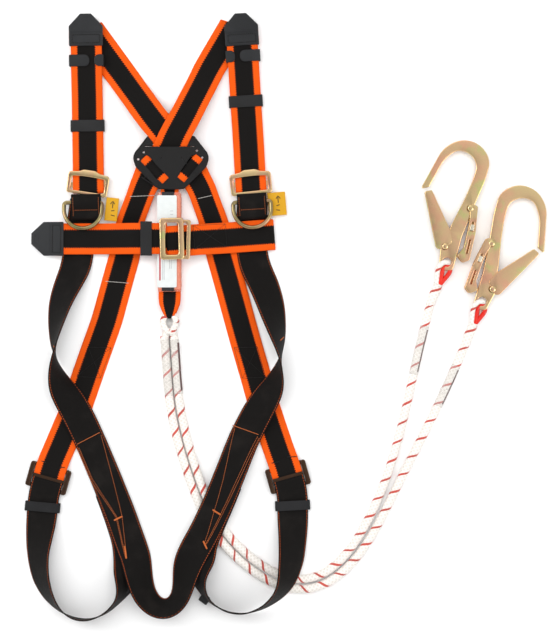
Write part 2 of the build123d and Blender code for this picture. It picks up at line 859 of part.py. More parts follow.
for name, route in (("rope_inner", inner_rope), ("rope_outer", outer_rope)):
    radii = turn_radii(route)
    with BuildPart() as rope:
        with BuildLine(Plane.XY.offset(rope_height)) as rope_line:
            FilletPolyline(*route, radius=radii)
        rope_wire = rope_line.wire()
        with BuildSketch(Plane(rope_wire @ 0, z_dir=rope_wire % 0)):
            Circle(rope_diameter / 2)
        sweep()
    save(rope, name)
    expected = math.pi * rope_diameter**2 / 4 * rope_wire.length
    print(name, "length", round(rope_wire.length), "volume ratio", round(rope.part.volume / expected, 4))
    print(name, "radii", [round(value) for value in radii])

# lower eyes: each rope turns back on itself round the tip of the webbing loop
eye_width = 27.0
eye_length = 38.0
eye_hole_width = tip_width + 1.2
eye_middle_y = tip_y + 12 - eye_length / 2
with BuildPart() as rope_lower_eyes:
    for eye_low in (middle - eye_thick - clearance / 2, middle + clearance / 2):
        with BuildSketch(Plane.XY.offset(eye_low)):
            with Locations((pack_x, eye_middle_y)):
                SlotOverall(eye_length, eye_width, rotation=90)
            with Locations((pack_x, tip_y - 2)):
                SlotOverall(19, eye_hole_width, rotation=90, mode=Mode.SUBTRACT)
        extrude(amount=eye_thick)
save(rope_lower_eyes, "rope_lower_eyes")

# --- hooks ------------------------------------------------------------------------------------------
# Local frame: origin at the middle of the eye, u along the hook, v to the spine side.
hook_outer = [
    (-13, 0, 0),
    (-11, 11, 6),
    (40, 15, 30),
    (84, 24, 60),
    (125, 33, 60),
    (156, 36, 24),
    (178, 14, 20),
    (178, -12, 20),
    (164, -33, 20),
    (98, -57, 1),
    (103, -46, 2),
    (148, -30, 12),
    (163, -16, 12),
    (160, 6, 12),
    (147, 17, 16),
    (124, 16, 30),
    (92, 8, 60),
    (56, -3, 10),
    (46, -5, 4),
    (26, -14, 8),
    (-11, -11, 6),
]
gate_outline = [
    (13, -15, 6),
    (31, 0, 6),
    (44, -5, 5),
    (99, -40.5, 1),
    (95.5, -50.5, 3),
]
lever_outline = [
    (90, 18, 5),
    (88, 29.5, 5),
    (48, 33, 40),
    (8, 31, 4),
    (3, 22, 4),
    (12, 12.5, 3),
    (24, 20, 8),
    (60, 22, 30),
]
gate_pivot = (22, -7)
lever_pivot = (83, 19.5)
pivot_hole = rivet_diameter / 2 + 0.15
eye_hole = 6.5
slot_in_lever = (22, 26)


def flat_shape(plane, corners, side, holes, low_z, high_z):
    """An outline in (u, v), pierced by round holes and extruded between two heights."""
    with BuildPart(mode=Mode.PRIVATE) as sheet:
        with BuildSketch(plane.offset(low_z)):
            with BuildLine():
                points = [(u, side * v) for u, v, _radius in corners]
                FilletPolyline(*points, radius=[radius for _u, _v, radius in corners], close=True)
            make_face()
            for u, v, radius in holes:
                with Locations((u, side * v)):
                    Circle(radius, mode=Mode.SUBTRACT)
        extrude(amount=high_z - low_z)
    return sheet.part


hooks = {
    "inner": {"eye": (407, 81), "angle": 79.8, "side": -1, "rope_end": (383, 20)},
    "outer": {"eye": (458, 24), "angle": 67.5, "side": 1, "rope_end": (434, -39)},
}
thimble_end = 42.0
hook_top = hook_under + hook_plate
gate_low = hook_under - cheek_gap - cheek
gate_high = hook_top + cheek_gap + cheek
lever_low = gate_low - cheek_gap - cheek
lever_high = gate_high + cheek_gap + cheek
for name, place in hooks.items():
    base = floor_plane(*place["eye"], place["angle"])
    side = place["side"]
    holes = [(*gate_pivot, pivot_hole), (*lever_pivot, pivot_hole), (0, 0, eye_hole)]
    with BuildPart() as hook_body:
        add(flat_shape(base, hook_outer, side, holes, hook_under, hook_top))
    save(hook_body, "hook_body_" + name)

    # gate: two cheeks joined by a spine on the side of the mouth
    with BuildPart() as hook_gate:
        gate_hole = [(*gate_pivot, pivot_hole)]
        add(flat_shape(base, gate_outline, side, gate_hole, gate_low, hook_under - cheek_gap))
        add(flat_shape(base, gate_outline, side, gate_hole, hook_top + cheek_gap, gate_high))
        spine = [(70, -21, 0.5), (94, -36.5, 0.5), (92.5, -39.5, 0.5), (68.5, -24.5, 0.5)]
        add(flat_shape(base, spine, side, [], gate_low, gate_high))
    save(hook_gate, "hook_gate_" + name)

    # lever: two cheeks outside those of the gate, joined along the back of the hook
    with BuildPart() as hook_lever:
        lever_holes = [(*lever_pivot, pivot_hole), (*slot_in_lever, 2.4)]
        add(flat_shape(base, lever_outline, side, lever_holes, lever_low, gate_low - cheek_gap))
        add(flat_shape(base, lever_outline, side, lever_holes, gate_high + cheek_gap, lever_high))
        back = [(72, 29.6, 0.5), (72, 27.4, 0.5), (40, 29.4, 0.5), (12, 28.6, 0.5), (12, 30.8, 0.5), (46, 32, 0.5)]
        add(flat_shape(base, back, side, [], lever_low, lever_high))
    save(hook_lever, "hook_lever_" + name)

    with BuildPart() as hook_rivets:
        for u, v in (gate_pivot, lever_pivot):
            with BuildSketch(base.offset(lever_low - 1.2)):
                with Locations((u, side * v)):
                    Circle(rivet_diameter / 2)
            extrude(amount=lever_high - lever_low + 2.4)
            for head_low in (lever_low - 1.4, lever_high + 0.2):
                with BuildSketch(base.offset(head_low)):
                    with Locations((u, side * v)):
                        Circle(rivet_diameter / 2 + 1.6)
                extrude(amount=1.2)
    save(hook_rivets, "hook_rivets_" + name)

    # thimble: a grooved ring through the eye, drawn out to the throat of the rope
    rope_end = Vector(*place["rope_end"], 0)
    eye = Vector(*place["eye"], 0)
    pull = (rope_end - eye).normalized()
    turn = math.degrees(math.atan2(pull.Y, pull.X))
    run = (rope_end - eye).length - 1
    line = floor_plane(*place["eye"], turn)
    thimble_mid = hook_under + hook_plate / 2
    with BuildPart() as thimble:
        # the bow stands on edge through the eye of the hook
        bow = Plane(origin=(eye.X, eye.Y, thimble_mid), x_dir=(pull.X, pull.Y, 0), z_dir=(-pull.Y, pull.X, 0))
        with BuildSketch(bow.offset(-4.6)):
            with BuildLine():
                Polyline(
                    (-3.5, -9.8),
                    (16, -9.8),
                    (thimble_end, -3),
                    (thimble_end, 3),
                    (16, 9.8),
                    (-3.5, 9.8),
                    close=True,
                )
            make_face()
            with Locations((11.5, 0)):
                SlotOverall(26, 13.4, mode=Mode.SUBTRACT)
        extrude(amount=9.2)
    save(thimble, "thimble_" + name)

    with BuildPart() as splice:
        with BuildSketch(Plane(line.from_local_coords(Vector(run, 0, rope_height)), z_dir=-pull)):
            Circle(rope_diameter / 2)
        extrude(amount=run - thimble_end - 1)
    save(splice, "rope_splice_" + name)

# --- small trim --------------------------------------------------------------------------------------
tag_places = {"left": ((-81.5, 158), -6, 18.5, 34), "right": ((159.5, 166), 5, 26, 34)}
with BuildPart() as size_tags:
    for (x, y), turn, wide, tall in tag_places.values():
        tag_plane = floor_plane(x, y, turn)
        add(slab(tag_plane, wide, tall, (0, 0), slider_lift + slider_height + 0.8, slider_lift + slider_height + 1.8))
save(size_tags, "size_tags")
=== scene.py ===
import bpy
import math
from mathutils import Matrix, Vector, geometry, noise


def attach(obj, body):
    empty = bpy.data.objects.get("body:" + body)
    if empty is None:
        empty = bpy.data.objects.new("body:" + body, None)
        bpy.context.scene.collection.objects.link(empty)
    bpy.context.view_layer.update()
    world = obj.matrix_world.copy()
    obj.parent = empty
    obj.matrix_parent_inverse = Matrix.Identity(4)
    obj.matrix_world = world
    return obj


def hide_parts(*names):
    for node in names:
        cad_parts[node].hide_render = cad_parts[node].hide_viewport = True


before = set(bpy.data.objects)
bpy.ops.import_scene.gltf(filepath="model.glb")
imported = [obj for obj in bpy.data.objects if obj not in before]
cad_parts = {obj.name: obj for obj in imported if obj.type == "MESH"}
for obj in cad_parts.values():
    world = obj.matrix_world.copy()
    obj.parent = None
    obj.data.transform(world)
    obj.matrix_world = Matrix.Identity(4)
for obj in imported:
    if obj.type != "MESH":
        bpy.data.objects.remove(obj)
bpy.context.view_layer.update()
mm = 0.001
print("frame loaded,", len(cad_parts), "pieces")

# camera straight above the laid out harness, floor and light
shot = {"across": 163.8, "up": -3.3, "height": 2600, "lens": 100}
light = {"top": 27, "side": 19, "fill": 12, "world": 0.72, "floor": (0.95, 0.95, 0.95, 1)}


def aimAt(thing, target):
    way = Vector(target) - thing.location
    thing.rotation_euler = way.to_track_quat("-Z", "Y").to_euler()


def addCamera():
    data = bpy.data.cameras.new("camera")
    data.lens = shot["lens"]
    data.sensor_width = 36
    data.clip_start, data.clip_end = 0.05, 30
    camera = bpy.data.objects.new("camera", data)
    camera.location = (shot["across"] * mm, shot["up"] * mm, shot["height"] * mm)
    bpy.context.scene.collection.objects.link(camera)
    bpy.context.scene.camera = camera


def addLamp(name, where, size, power, tint=(1, 1, 1), mirrored=True):
    data = bpy.data.lights.new(name, "AREA")
    data.shape = "RECTANGLE"
    data.size, data.size_y = size
    data.energy = power
    data.color = tint
    lamp = bpy.data.objects.new(name, data)
    lamp.location = where
    bpy.context.scene.collection.objects.link(lamp)
    aimAt(lamp, (0.16, 0, 0))
    lamp.visible_glossy = mirrored


bpy.context.scene.view_settings.view_transform = "Standard"
addCamera()
addLamp("topLamp", (0.1, 0.5, 2.3), (2.2, 1.4), light["top"], mirrored=False)
addLamp("leftLamp", (-1.7, 0.7, 1.5), (0.9, 1.8), light["side"])
addLamp("rightLamp", (2.0, -0.5, 1.4), (0.9, 1.8), light["fill"])


class Sock:
    # one socket of a material, so that maths on it reads as an expression
    def __init__(self, mat, socket):
        self.mat, self.socket = mat, socket

    def maths(self, kind, first, second=None):
        values = {0: first} if second is None else {0: first, 1: second}
        return self.mat.node("ShaderNodeMath", {"operation": kind}, values)

    def __add__(self, other):
        return self.maths("ADD", self, other)

    def __sub__(self, other):
        return self.maths("SUBTRACT", self, other)

    def __rsub__(self, other):
        return self.maths("SUBTRACT", other, self)

    def __mul__(self, other):
        return self.maths("MULTIPLY", self, other)

    def __abs__(self):
        return self.maths("ABSOLUTE", self)

    def __gt__(self, other):
        return self.maths("GREATER_THAN", self, other)

    def __lt__(self, other):
        return self.maths("LESS_THAN", self, other)

    def sin(self):
        return self.maths("SINE", self)

    def fract(self):
        return self.maths("FRACT", self)

    def wave(self, period):
        # triangle wave from 0 to 1 and back over one period
        return self.maths("PINGPONG", self, period / 2) * (2 / period)

    def atLeast(self, other):
        return self.maths("MAXIMUM", self, other)

    def ramp(self, low, high):
        # 0 below low, 1 above high, smooth between
        return self.mat.node(
            "ShaderNodeMapRange",
            {"interpolation_type": "SMOOTHSTEP"},
            {"Value": self, "From Min": low, "From Max": high},
        )


class Finish:
    def __init__(self, name, **constants):
        self.material = bpy.data.materials.new(name)
        self.material.use_nodes = True
        self.tree = self.material.node_tree
        self.shader = self.tree.nodes["Principled BSDF"]
        for key, value in constants.items():
            self.shader.inputs[key.replace("_", " ")].default_value = value


    def node(self, kind, settings=None, values=None, output=0):
        made = self.tree.nodes.new(kind)
        for key, value in (settings or {}).items():
            setattr(made, key, value)
        for key, value in (values or {}).items():
            self.feed(made.inputs[key], value)
        return Sock(self, made.outputs[output])

    def feed(self, socket, value):
        if isinstance(value, Sock):
            self.tree.links.new(value.socket, socket)
        else:
            socket.default_value = value

    def put(self, key, value):
        self.feed(self.shader.inputs[key], value)

    def split(self, vector):
        parts = self.tree.nodes.new("ShaderNodeSeparateXYZ")
        self.feed(parts.inputs[0], vector)
        return [Sock(self, one) for one in parts.outputs]

    def across(self):
        # the strap's own lengths in metres: across its width and along it
        return self.split(self.node("ShaderNodeUVMap", {"uv_map": "strap"}))[:2]

    def place(self):
        return self.node("ShaderNodeTexCoord", output=3)

    def edge(self):
        # above a half where the surface stands out, below where it is hollow
        return self.node("ShaderNodeNewGeometry", output=7)

    def grain(self, scale, detail):
        values = {"Vector": self.place(), "Scale": scale, "Detail": detail, "Roughness": 0.55}
        return self.node("ShaderNodeTexNoise", {}, values)

    def mix(self, share, first, second):
        mixer = self.tree.nodes.new("ShaderNodeMix")
        mixer.data_type = "RGBA"
        self.feed(mixer.inputs[0], share)
        self.feed(mixer.inputs[6], first)
        self.feed(mixer.inputs[7], second)
        return Sock(self, mixer.outputs[2])

    def bump(self, height, depth, strength):
        # height 0 to 1, depth in metres
        values = {"Height": height, "Distance": depth, "Strength": strength}
        self.put("Normal", self.node("ShaderNodeBump", {}, values))


class Sky(Finish):
    def __init__(self, name):
        world = bpy.data.worlds.new(name)
        bpy.context.scene.world = world
        world.use_nodes = True
        self.tree = world.node_tree
        self.shader = self.tree.nodes["Background"]


def rgb(red, green, blue):
    # a colour as seen on screen, turned linear
    def linear(value):
        value /= 255
        return value / 12.92 if value <= 0.04045 else ((value + 0.055) / 1.055) ** 2.4

    return (linear(red), linear(green), linear(blue), 1)


# webbing: size in millimetres, its weave and stripe in metres
webbing = {
    "width": 45, "thick": 2.0, "step": 4,
    "orange": rgb(236, 92, 16), "orangeDark": rgb(212, 74, 8), "orangeWorn": rgb(240, 106, 44),
    "black": rgb(8, 7, 7), "blackLight": rgb(23, 20, 18), "blackWorn": rgb(66, 60, 56),
    "thread": rgb(172, 78, 36), "threadPitch": 0.0038, "threadHalf": 0.00045,
    "blackHalf": 0.0122, "toothPitch": 0.0034, "toothDeep": 0.0011,
    "column": 0.0062, "rib": 0.0016, "warp": 0.00105,
}


def webbingFinish(name, striped, stitched):
    cloth = Finish(name, Roughness=0.72, Sheen_Weight=0.02, Sheen_Roughness=0.4, Specular_IOR_Level=0.12)
    u, v = cloth.across()
    # herringbone weave: fine ribs that turn at each column
    columns = u.wave(webbing["column"])
    ribs = ((v * (math.tau / webbing["rib"])) + (columns * 5.2)).sin() * 0.5 + 0.5
    warp = (u * (math.tau / webbing["warp"])).sin() * 0.5 + 0.5
    weave = ribs * 0.72 + warp * 0.28
    wear = cloth.grain(34, 4)
    fuzz = cloth.grain(900, 2)
    dark = cloth.mix(weave * 0.55 + fuzz * 0.25, webbing["black"], webbing["blackLight"])
    if striped:
        # the black middle ends in small teeth where the weave changes
        half = webbing["blackHalf"]
        teeth = ((v * (1 / webbing["toothPitch"])).fract() > 0.5) * -webbing["toothDeep"]
        middle = (abs(u) + teeth).ramp(half + 0.0002, half + 0.0008)
        bright = cloth.mix(weave * 0.7 + fuzz * 0.3, webbing["orangeDark"], webbing["orange"])
        bright = cloth.mix(wear.ramp(0.5, 0.8) * 0.16, bright, webbing["orangeWorn"])
        colour = cloth.mix(middle, dark, bright)
    else:
        colour = cloth.mix(wear.ramp(0.45, 0.8) * 0.12, dark, webbing["blackWorn"])
    height = weave * 0.75 + fuzz * 0.25
    if stitched:
        # one dashed row of thread inside each edge
        dash = (v * (1 / webbing["threadPitch"])).fract() < 0.62
        row = (abs(abs(u) - stitched) < webbing["threadHalf"]) * dash
        colour = cloth.mix(row, colour, webbing["thread"])
        height = height + row * 0.9
    cloth.put("Base Color", colour)
    cloth.put("Roughness", 0.8 - weave * 0.14)
    cloth.bump(height, 0.00035, 0.75)
    return cloth.material


stripedWebbing = webbingFinish("stripedWebbing", True, 0)
stitchedWebbing = webbingFinish("stitchedBlackWebbing", False, 0.0206)
plainWebbing = webbingFinish("blackWebbing", False, 0)


def metalFinish(name, warm, cool, dark, rough, hues, edgeHighlight=rgb(250, 226, 160)):
    # zinc plating: straw yellow that drifts to green and pink where the film is thicker
    metal = Finish(name, Metallic=1.0, Specular_IOR_Level=0.5)
    cloud = metal.grain(16, 3)
    small = metal.grain(90, 4)
    base = metal.mix((cloud * 0.75 + small * 0.25).ramp(0.38, 0.62), warm, cool)
    pink = metal.grain(24, 2).ramp(0.5, 0.64)
    base = metal.mix(pink * hues, base, rgb(226, 146, 134))
    green = metal.grain(31, 3).ramp(0.54, 0.68)
    base = metal.mix(green * hues, base, rgb(168, 196, 116))
    # painted highlight and painted shade: the outstanding edges are lightened towards the edge highlight colour, and
    # the hollows and creases are darkened towards the dark colour
    edge = metal.edge()
    base = metal.mix(edge.ramp(0.5, 0.53) * 0.45, base, edgeHighlight)
    base = metal.mix((0.5 - edge).ramp(0.02, 0.12) * 0.5, base, dark)
    metal.put("Base Color", base)
    metal.put("Roughness", small * 0.14 + rough)
    metal.bump(cloud * 0.8 + small * 0.2, 0.0016, 0.5)
    return metal.material


zinc = metalFinish("yellowZinc", rgb(210, 160, 136), rgb(204, 176, 136), rgb(90, 62, 44), 0.13, 0.7)
oliveGold = metalFinish("oliveGold", rgb(164, 146, 104), rgb(132, 120, 84), rgb(52, 44, 28), 0.18, 0.25)
bronze = metalFinish(
    "bronzePlate", rgb(58, 42, 34), rgb(44, 34, 28), rgb(16, 12, 10), 0.34, 0.02, rgb(104, 80, 64)
)


def mouldedFinish(name, base, light, rough, pebbles, depth):
    plastic = Finish(name, Specular_IOR_Level=0.3)
    skin = plastic.grain(pebbles, 2)
    broad = plastic.grain(14, 3)
    colour = plastic.mix(broad.ramp(0.3, 0.75) * 0.6, base, light)
    # painted highlight: the outstanding edges are mixed towards the lighter colour
    edge = plastic.edge()
    colour = plastic.mix(edge.ramp(0.51, 0.6) * 0.4, colour, light)
    plastic.put("Base Color", colour)
    plastic.put("Roughness", skin * 0.16 + rough)
    plastic.bump(skin, depth, 0.6)
    return plastic.material


capPlastic = mouldedFinish("greyPlastic", rgb(25, 26, 28), rgb(40, 41, 43), 0.42, 1400, 0.00018)
keeperPlastic = mouldedFinish("blackPlastic", rgb(17, 17, 18), rgb(36, 36, 37), 0.36, 1700, 0.00014)
platePlastic = mouldedFinish("platePlastic", rgb(9, 8, 8), rgb(18, 17, 17), 0.42, 1500, 0.0001)
elasticBand = mouldedFinish("elasticBand", rgb(22, 22, 23), rgb(40, 40, 42), 0.75, 2600, 0.0003)
redPlastic = mouldedFinish("redPlastic", rgb(206, 26, 12), rgb(236, 62, 34), 0.14, 500, 0.00005)


def threadFinish(name, base, light):
    thread = Finish(name, Sheen_Weight=0.06, Specular_IOR_Level=0.25)
    twist = thread.grain(1800, 2)
    thread.put("Base Color", thread.mix(twist, base, light))
    thread.put("Roughness", twist * 0.2 + 0.5)
    thread.bump(twist, 0.0002, 0.6)
    return thread.material


orangeThread = threadFinish("orangeThread", rgb(176, 84, 34), rgb(214, 120, 60))
greyThread = threadFinish("greyThread", rgb(150, 146, 140), rgb(206, 202, 196))
darkThread = threadFinish("darkThread", rgb(8, 7, 7), rgb(20, 18, 17))
packCore = threadFinish("packCore", rgb(206, 120, 92), rgb(236, 168, 140))
chrome = metalFinish("brightSteel", rgb(226, 226, 222), rgb(196, 198, 198), rgb(90, 90, 90), 0.16, 0.05)
print("finishes made")


def settle(made, body="harness", slotName=None, *nodes):
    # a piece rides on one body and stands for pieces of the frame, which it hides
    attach(made, body)
    if nodes:
        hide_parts(*nodes)
    return made


def repaint(node, finish):
    # a piece of the frame keeps its solid and takes one finish
    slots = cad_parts[node].data.materials
    slots.clear()
    slots.append(finish)


def skin(rings, count, closed=False, start=0, capped=True):
    # four-cornered faces between rings of vertices that follow each other
    faces = []
    for index in range(rings if closed else rings - 1):
        here, above = start + index * count, start + (index + 1) % rings * count
        for step in range(count):
            other = (step + 1) % count
            faces.append((here + step, here + other, above + other, above + step))
    if capped and not closed:
        faces.append(tuple(range(count - 1, -1, -1)))
        faces.append(tuple(range((rings - 1) * count, rings * count)))
    return faces


def meshPiece(name, vertices, faces, finish, sheet=None):
    # vertices in millimetres; sheet holds each one's place on the strap's own cloth
    mesh = bpy.data.meshes.new(name)
    mesh.from_pydata([tuple(Vector(one) * mm) for one in vertices], [], faces)
    if sheet:
        layer = mesh.uv_layers.new(name="strap")
        for loop in mesh.loops:
            layer.data[loop.index].uv = sheet[loop.vertex_index]
    mesh.validate()
    made = bpy.data.objects.new(name, mesh)
    bpy.context.scene.collection.objects.link(made)
    mesh.materials.append(finish)
    mesh.polygons.foreach_set("use_smooth", [True] * len(mesh.polygons))
    return made


# stations along a strap: x, y, lift of its lowest edge, heading, lean, share of width, curl
def walk(stations, rounds, step):
    # even steps along the stations, then the corners eased by that many rounds
    rows = [[*one, *(1.0, 0.0)[len(one) - 5:]] for one in stations]
    points = []
    for first, second in zip(rows[:-1], rows[1:]):
        run = math.dist(first[:3], second[:3])
        count = max(1, round(run / step))
        for index in range(count):
            share = index / count
            points.append([a + (b - a) * share for a, b in zip(first, second)])
    points.append(rows[-1])
    for _ in range(rounds):
        eased = [points[0]]
        for before, here, after in zip(points[:-2], points[1:-1], points[2:]):
            eased.append([(a + 2 * b + c) / 4 for a, b, c in zip(before, here, after)])
        points = eased + [points[-1]]
    return points


class Strap:
    # a length of webbing that remembers its own line, so thread can be sewn on it
    def __init__(
        self, name, stations, rounds, seed, waves,
        width=webbing["width"], thick=webbing["thick"], step=webbing["step"],
    ):
        self.name, self.width, self.thick = name, width, thick
        rows = walk(stations, rounds, step)
        self.places, self.acrosses, self.curls = [], [], []
        for index, (x, y, lift, heading, lean, share, curl) in enumerate(rows):
            turn, lean = math.radians(heading), math.radians(lean)
            flat = math.cos(lean)
            rise = abs(math.sin(lean)) * width * share / 2
            wave = noise.noise(Vector((index * step / 70, seed * 7.3, 0))) * waves
            self.places.append(Vector((x + wave, y, lift + rise + thick / 2 + abs(wave) * 0.5)))
            self.acrosses.append(Vector((flat * math.cos(turn), flat * math.sin(turn), math.sin(lean))))
            self.curls.append(curl)
        self.runs = [0.0]
        for before, after in zip(self.places[:-1], self.places[1:]):
            self.runs.append(self.runs[-1] + (after - before).length)
        self.length = self.runs[-1]
        self.aheads, self.facings, self.stretches = [], [], []
        last = len(rows) - 1
        for index, across in enumerate(self.acrosses):
            ahead = self.places[min(index + 1, last)] - self.places[max(index - 1, 0)]
            ahead.normalize()
            self.aheads.append(ahead)
            self.facings.append(across.cross(ahead).normalized())
            # the width is measured square to the strap's own line unless it folds
            self.stretches.append(rows[index][5] / max(ahead.cross(across).length, 0.6))

    def spot(self, index, across, above):
        # a point at one row, above the middle of the webbing
        bend = self.curls[index] * (1 - (2 * across / self.width) ** 2)
        aside = self.acrosses[index] * (across * self.stretches[index])
        return self.places[index] + aside + self.facings[index] * (bend + above)

    def top(self, across, along):
        # a point on whichever face looks up, between two rows
        along = min(max(along, 0), self.length)
        index = 1
        while index < len(self.runs) - 1 and self.runs[index] < along:
            index += 1
        span = self.runs[index] - self.runs[index - 1] or 1
        share = (along - self.runs[index - 1]) / span
        above = self.thick / 2 * (-1 if self.facings[index - 1].z < 0 else 1)
        return self.spot(index - 1, across, above).lerp(self.spot(index, across, above), share)

    def find(self, x, y, low, high):
        # how far across and along the strap a place lies, seen from above
        rows = [one for one, run in enumerate(self.runs) if low * self.length <= run <= high * self.length]
        index = min(rows, key=lambda one: math.dist((x, y), self.places[one][:2]))
        ahead, across = self.aheads[index], self.acrosses[index]
        gap = Vector((x, y, 0)) - Vector((*self.places[index][:2], 0))
        side = Vector((across.x, across.y, 0)).normalized()
        front = Vector((ahead.x, ahead.y, 0)).normalized()
        return gap.dot(side), self.runs[index] + gap.dot(front)

    def build(self, finish, slotName, *nodes):
        columns, half, inset = 14, self.width / 2, self.thick * 0.35
        # across and above the middle, over the strap and back under it, edges rounded
        upper = [(-half, self.thick * 0.12), (-half + inset, self.thick * 0.46)]
        upper += [(-half + self.width * index / columns, self.thick / 2) for index in range(1, columns)]
        upper += [(half - inset, self.thick * 0.46), (half, self.thick * 0.12)]
        section = upper + [(across, -above) for across, above in reversed(upper)]
        rows = range(len(self.places))
        vertices = [self.spot(index, *one) for index in rows for one in section]
        sheet = [(across * mm, run * mm) for run in self.runs for across, _ in section]
        made = meshPiece(self.name, vertices, skin(len(rows), len(section)), finish, sheet)
        return settle(made, "harness", slotName, *nodes)

    def stripe(self, *nodes):
        self.build(stripedWebbing, "striped_webbing", *nodes)
        return self


def roundedOutline(corners, arc=6):
    # corners are x, y, radius; the last joins the first
    points = []
    count = len(corners)
    for index, (x, y, radius) in enumerate(corners):
        here = Vector((x, y))
        before = Vector(corners[index - 1][:2]) - here
        after = Vector(corners[(index + 1) % count][:2]) - here
        opening = before.angle(after)
        if radius <= 0 or abs(opening - math.pi) < 0.02:
            points.append((x, y))
            continue
        cut = min(radius / math.tan(opening / 2), 0.49 * before.length, 0.49 * after.length)
        radius = cut * math.tan(opening / 2)
        start, end = here + before.normalized() * cut, here + after.normalized() * cut
        centre = here + (before.normalized() + after.normalized()).normalized() * math.hypot(cut, radius)
        low = math.atan2(*(start - centre).yx)
        sweep = math.atan2(*(end - centre).yx) - low
        sweep = (sweep + math.pi) % (2 * math.pi) - math.pi
        for step in range(arc + 1):
            angle = low + sweep * step / arc
            points.append((centre.x + radius * math.cos(angle), centre.y + radius * math.sin(angle)))
    return points


def boxOutline(left, low, right, high, radius, arc=6):
    corners = ((left, low), (right, low), (right, high), (left, high))
    return roundedOutline([(*one, radius) for one in corners], arc)


def ringOutline(x, y, radius, count=24):
    turns = [2 * math.pi * step / count for step in range(count)]
    return [(x + radius * math.cos(turn), y + radius * math.sin(turn)) for turn in turns]


def turned(base, x, y, z=0.0):
    # from a piece's own axes, set down at base = (x, y, turn), to the harness
    turn = math.radians(base[2])
    return Vector((
        base[0] + x * math.cos(turn) - y * math.sin(turn),
        base[1] + x * math.sin(turn) + y * math.cos(turn),
        z,
    ))


def inward(corners, by):
    # a closed outline moved to its left by that much
    moved, count = [], len(corners)
    for index, here in enumerate(corners):
        before = (here - corners[index - 1]).normalized()
        after = (corners[(index + 1) % count] - here).normalized()
        way = before + after
        way = Vector((-way.y, way.x)).normalized()
        spread = max(0.45, way.dot(Vector((-after.y, after.x))))
        moved.append(here + way * (by / spread))
    return moved


def platePiece(name, outlines, low, high, soft, finish, base=(0, 0, 0), side=1, shape=None):
    # a flat plate with softened edges; further outlines are its holes; shape bends it afterwards
    soft = min(soft, (high - low) / 2.02)
    turns = [math.radians(22.5 * step) for step in range(5)]
    rows = [(soft * (1 - math.sin(turn)), low + soft * (1 - math.cos(turn))) for turn in turns]
    rows += [(back, high + low - height) for back, height in reversed(rows)]
    vertices, faces, flatPoints, flatEdges, lowest = [], [], [], [], []
    for index, outline in enumerate(outlines):
        corners = [Vector((x, y * side)) for x, y in outline]
        pairs = zip(corners, corners[-1:] + corners)
        corners = [one for one, before in pairs if (one - before).length > 0.02]
        around = sum(first.cross(second) for first, second in zip(corners, corners[1:] + corners[:1]))
        if (around > 0) == bool(index):
            corners.reverse()
        count, start = len(corners), len(vertices)
        for back, height in rows:
            vertices += [(*one, height) for one in inward(corners, back)]
        faces += skin(len(rows), count, start=start, capped=False)
        first = len(flatPoints)
        flatPoints += inward(corners, soft)
        flatEdges += [(first + step, first + (step + 1) % count) for step in range(count)]
        lowest += [(start + step, start + (len(rows) - 1) * count + step) for step in range(count)]
    sides = [(flatPoints[one], flatPoints[two]) for one, two in flatEdges]
    made = geometry.delaunay_2d_cdt(flatPoints, flatEdges, [], 1, 0.0001)
    for face in made[2]:
        corners = [made[0][one] for one in face]
        middle = sum(corners, Vector((0, 0))) / len(corners)
        # a face inside the plate has an odd number of sides to its right
        crossed = 0
        for one, two in sides:
            if (one.y > middle.y) != (two.y > middle.y):
                crossed += middle.x < one.x + (two.x - one.x) * (middle.y - one.y) / (two.y - one.y)
        if crossed % 2 == 0:
            continue
        around = sum(one.cross(two) for one, two in zip(corners, corners[1:] + corners[:1]))
        ends = []
        for one in face:
            if made[3][one]:
                ends.append(lowest[made[3][one][0]])
            else:
                ends.append((len(vertices), len(vertices) + 1))
                vertices += [(*made[0][one], low), (*made[0][one], high)]
        if around < 0:
            ends.reverse()
        faces.append([top for _, top in ends])
        faces.append([bottom for bottom, _ in reversed(ends)])
    if shape:
        vertices = [shape(*one) for one in vertices]
    made = meshPiece(name, [turned(base, *one) for one in vertices], faces, finish)
    smoothByAngle(made.data, 35)
    return made


def blockPiece(name, x, y, width, length, low, high, soft, finish, turn=0):
    outline = boxOutline(-width / 2, -length / 2, width / 2, length / 2, soft)
    return platePiece(name, [outline], low, high, min(soft, (high - low) / 2.2), finish, (x, y, turn))


def smoothByAngle(mesh, angle):
    mesh.polygons.foreach_set("use_smooth", [True] * len(mesh.polygons))
    mesh.set_sharp_from_angle(angle=math.radians(angle))


def joined(name, pieces):
    # several meshes as one piece, each keeping its own finish
    mesh = bpy.data.meshes.new(name)
    vertices, faces, finishes, picks = [], [], [], []
    for piece in pieces:
        base = len(vertices)
        vertices += [vertex.co.copy() for vertex in piece.data.vertices]
        for face in piece.data.polygons:
            faces.append([base + one for one in face.vertices])
            finish = piece.data.materials[face.material_index]
            if finish not in finishes:
                finishes.append(finish)
            picks.append(finishes.index(finish))
        old = piece.data
        bpy.data.objects.remove(piece)
        bpy.data.meshes.remove(old)
    mesh.from_pydata([tuple(one) for one in vertices], [], faces)
    for finish in finishes:
        mesh.materials.append(finish)
    mesh.polygons.foreach_set("material_index", picks)
    smoothByAngle(mesh, 35)
    made = bpy.data.objects.new(name, mesh)
    bpy.context.scene.collection.objects.link(made)
    return made


def tube(points, radius, sides=12, flat=1.0, closed=False):
    # vertices and faces of a round rod along points
    vertices = []
    count = len(points)
    up = Vector((0, 0, 1))
    for index, point in enumerate(points):
        before = points[index - 1] if closed or index else point
        after = points[(index + 1) % count] if closed or index < count - 1 else point
        ahead = (after - before).normalized()
        if abs(ahead.dot(up)) > 0.97:
            up = Vector((1, 0, 0))
        out = ahead.cross(up).normalized()
        top = out.cross(ahead).normalized()
        for step in range(sides):
            turn = 2 * math.pi * step / sides
            size = radius(index, turn) if callable(radius) else radius
            vertices.append(point + out * (math.cos(turn) * size) + top * (math.sin(turn) * size * flat))
    return vertices, skin(count, sides, closed)


def rodPiece(name, points, radius, sides, finish, flat=1.0, closed=False):
    return meshPiece(name, *tube(points, radius, sides, flat, closed), finish)


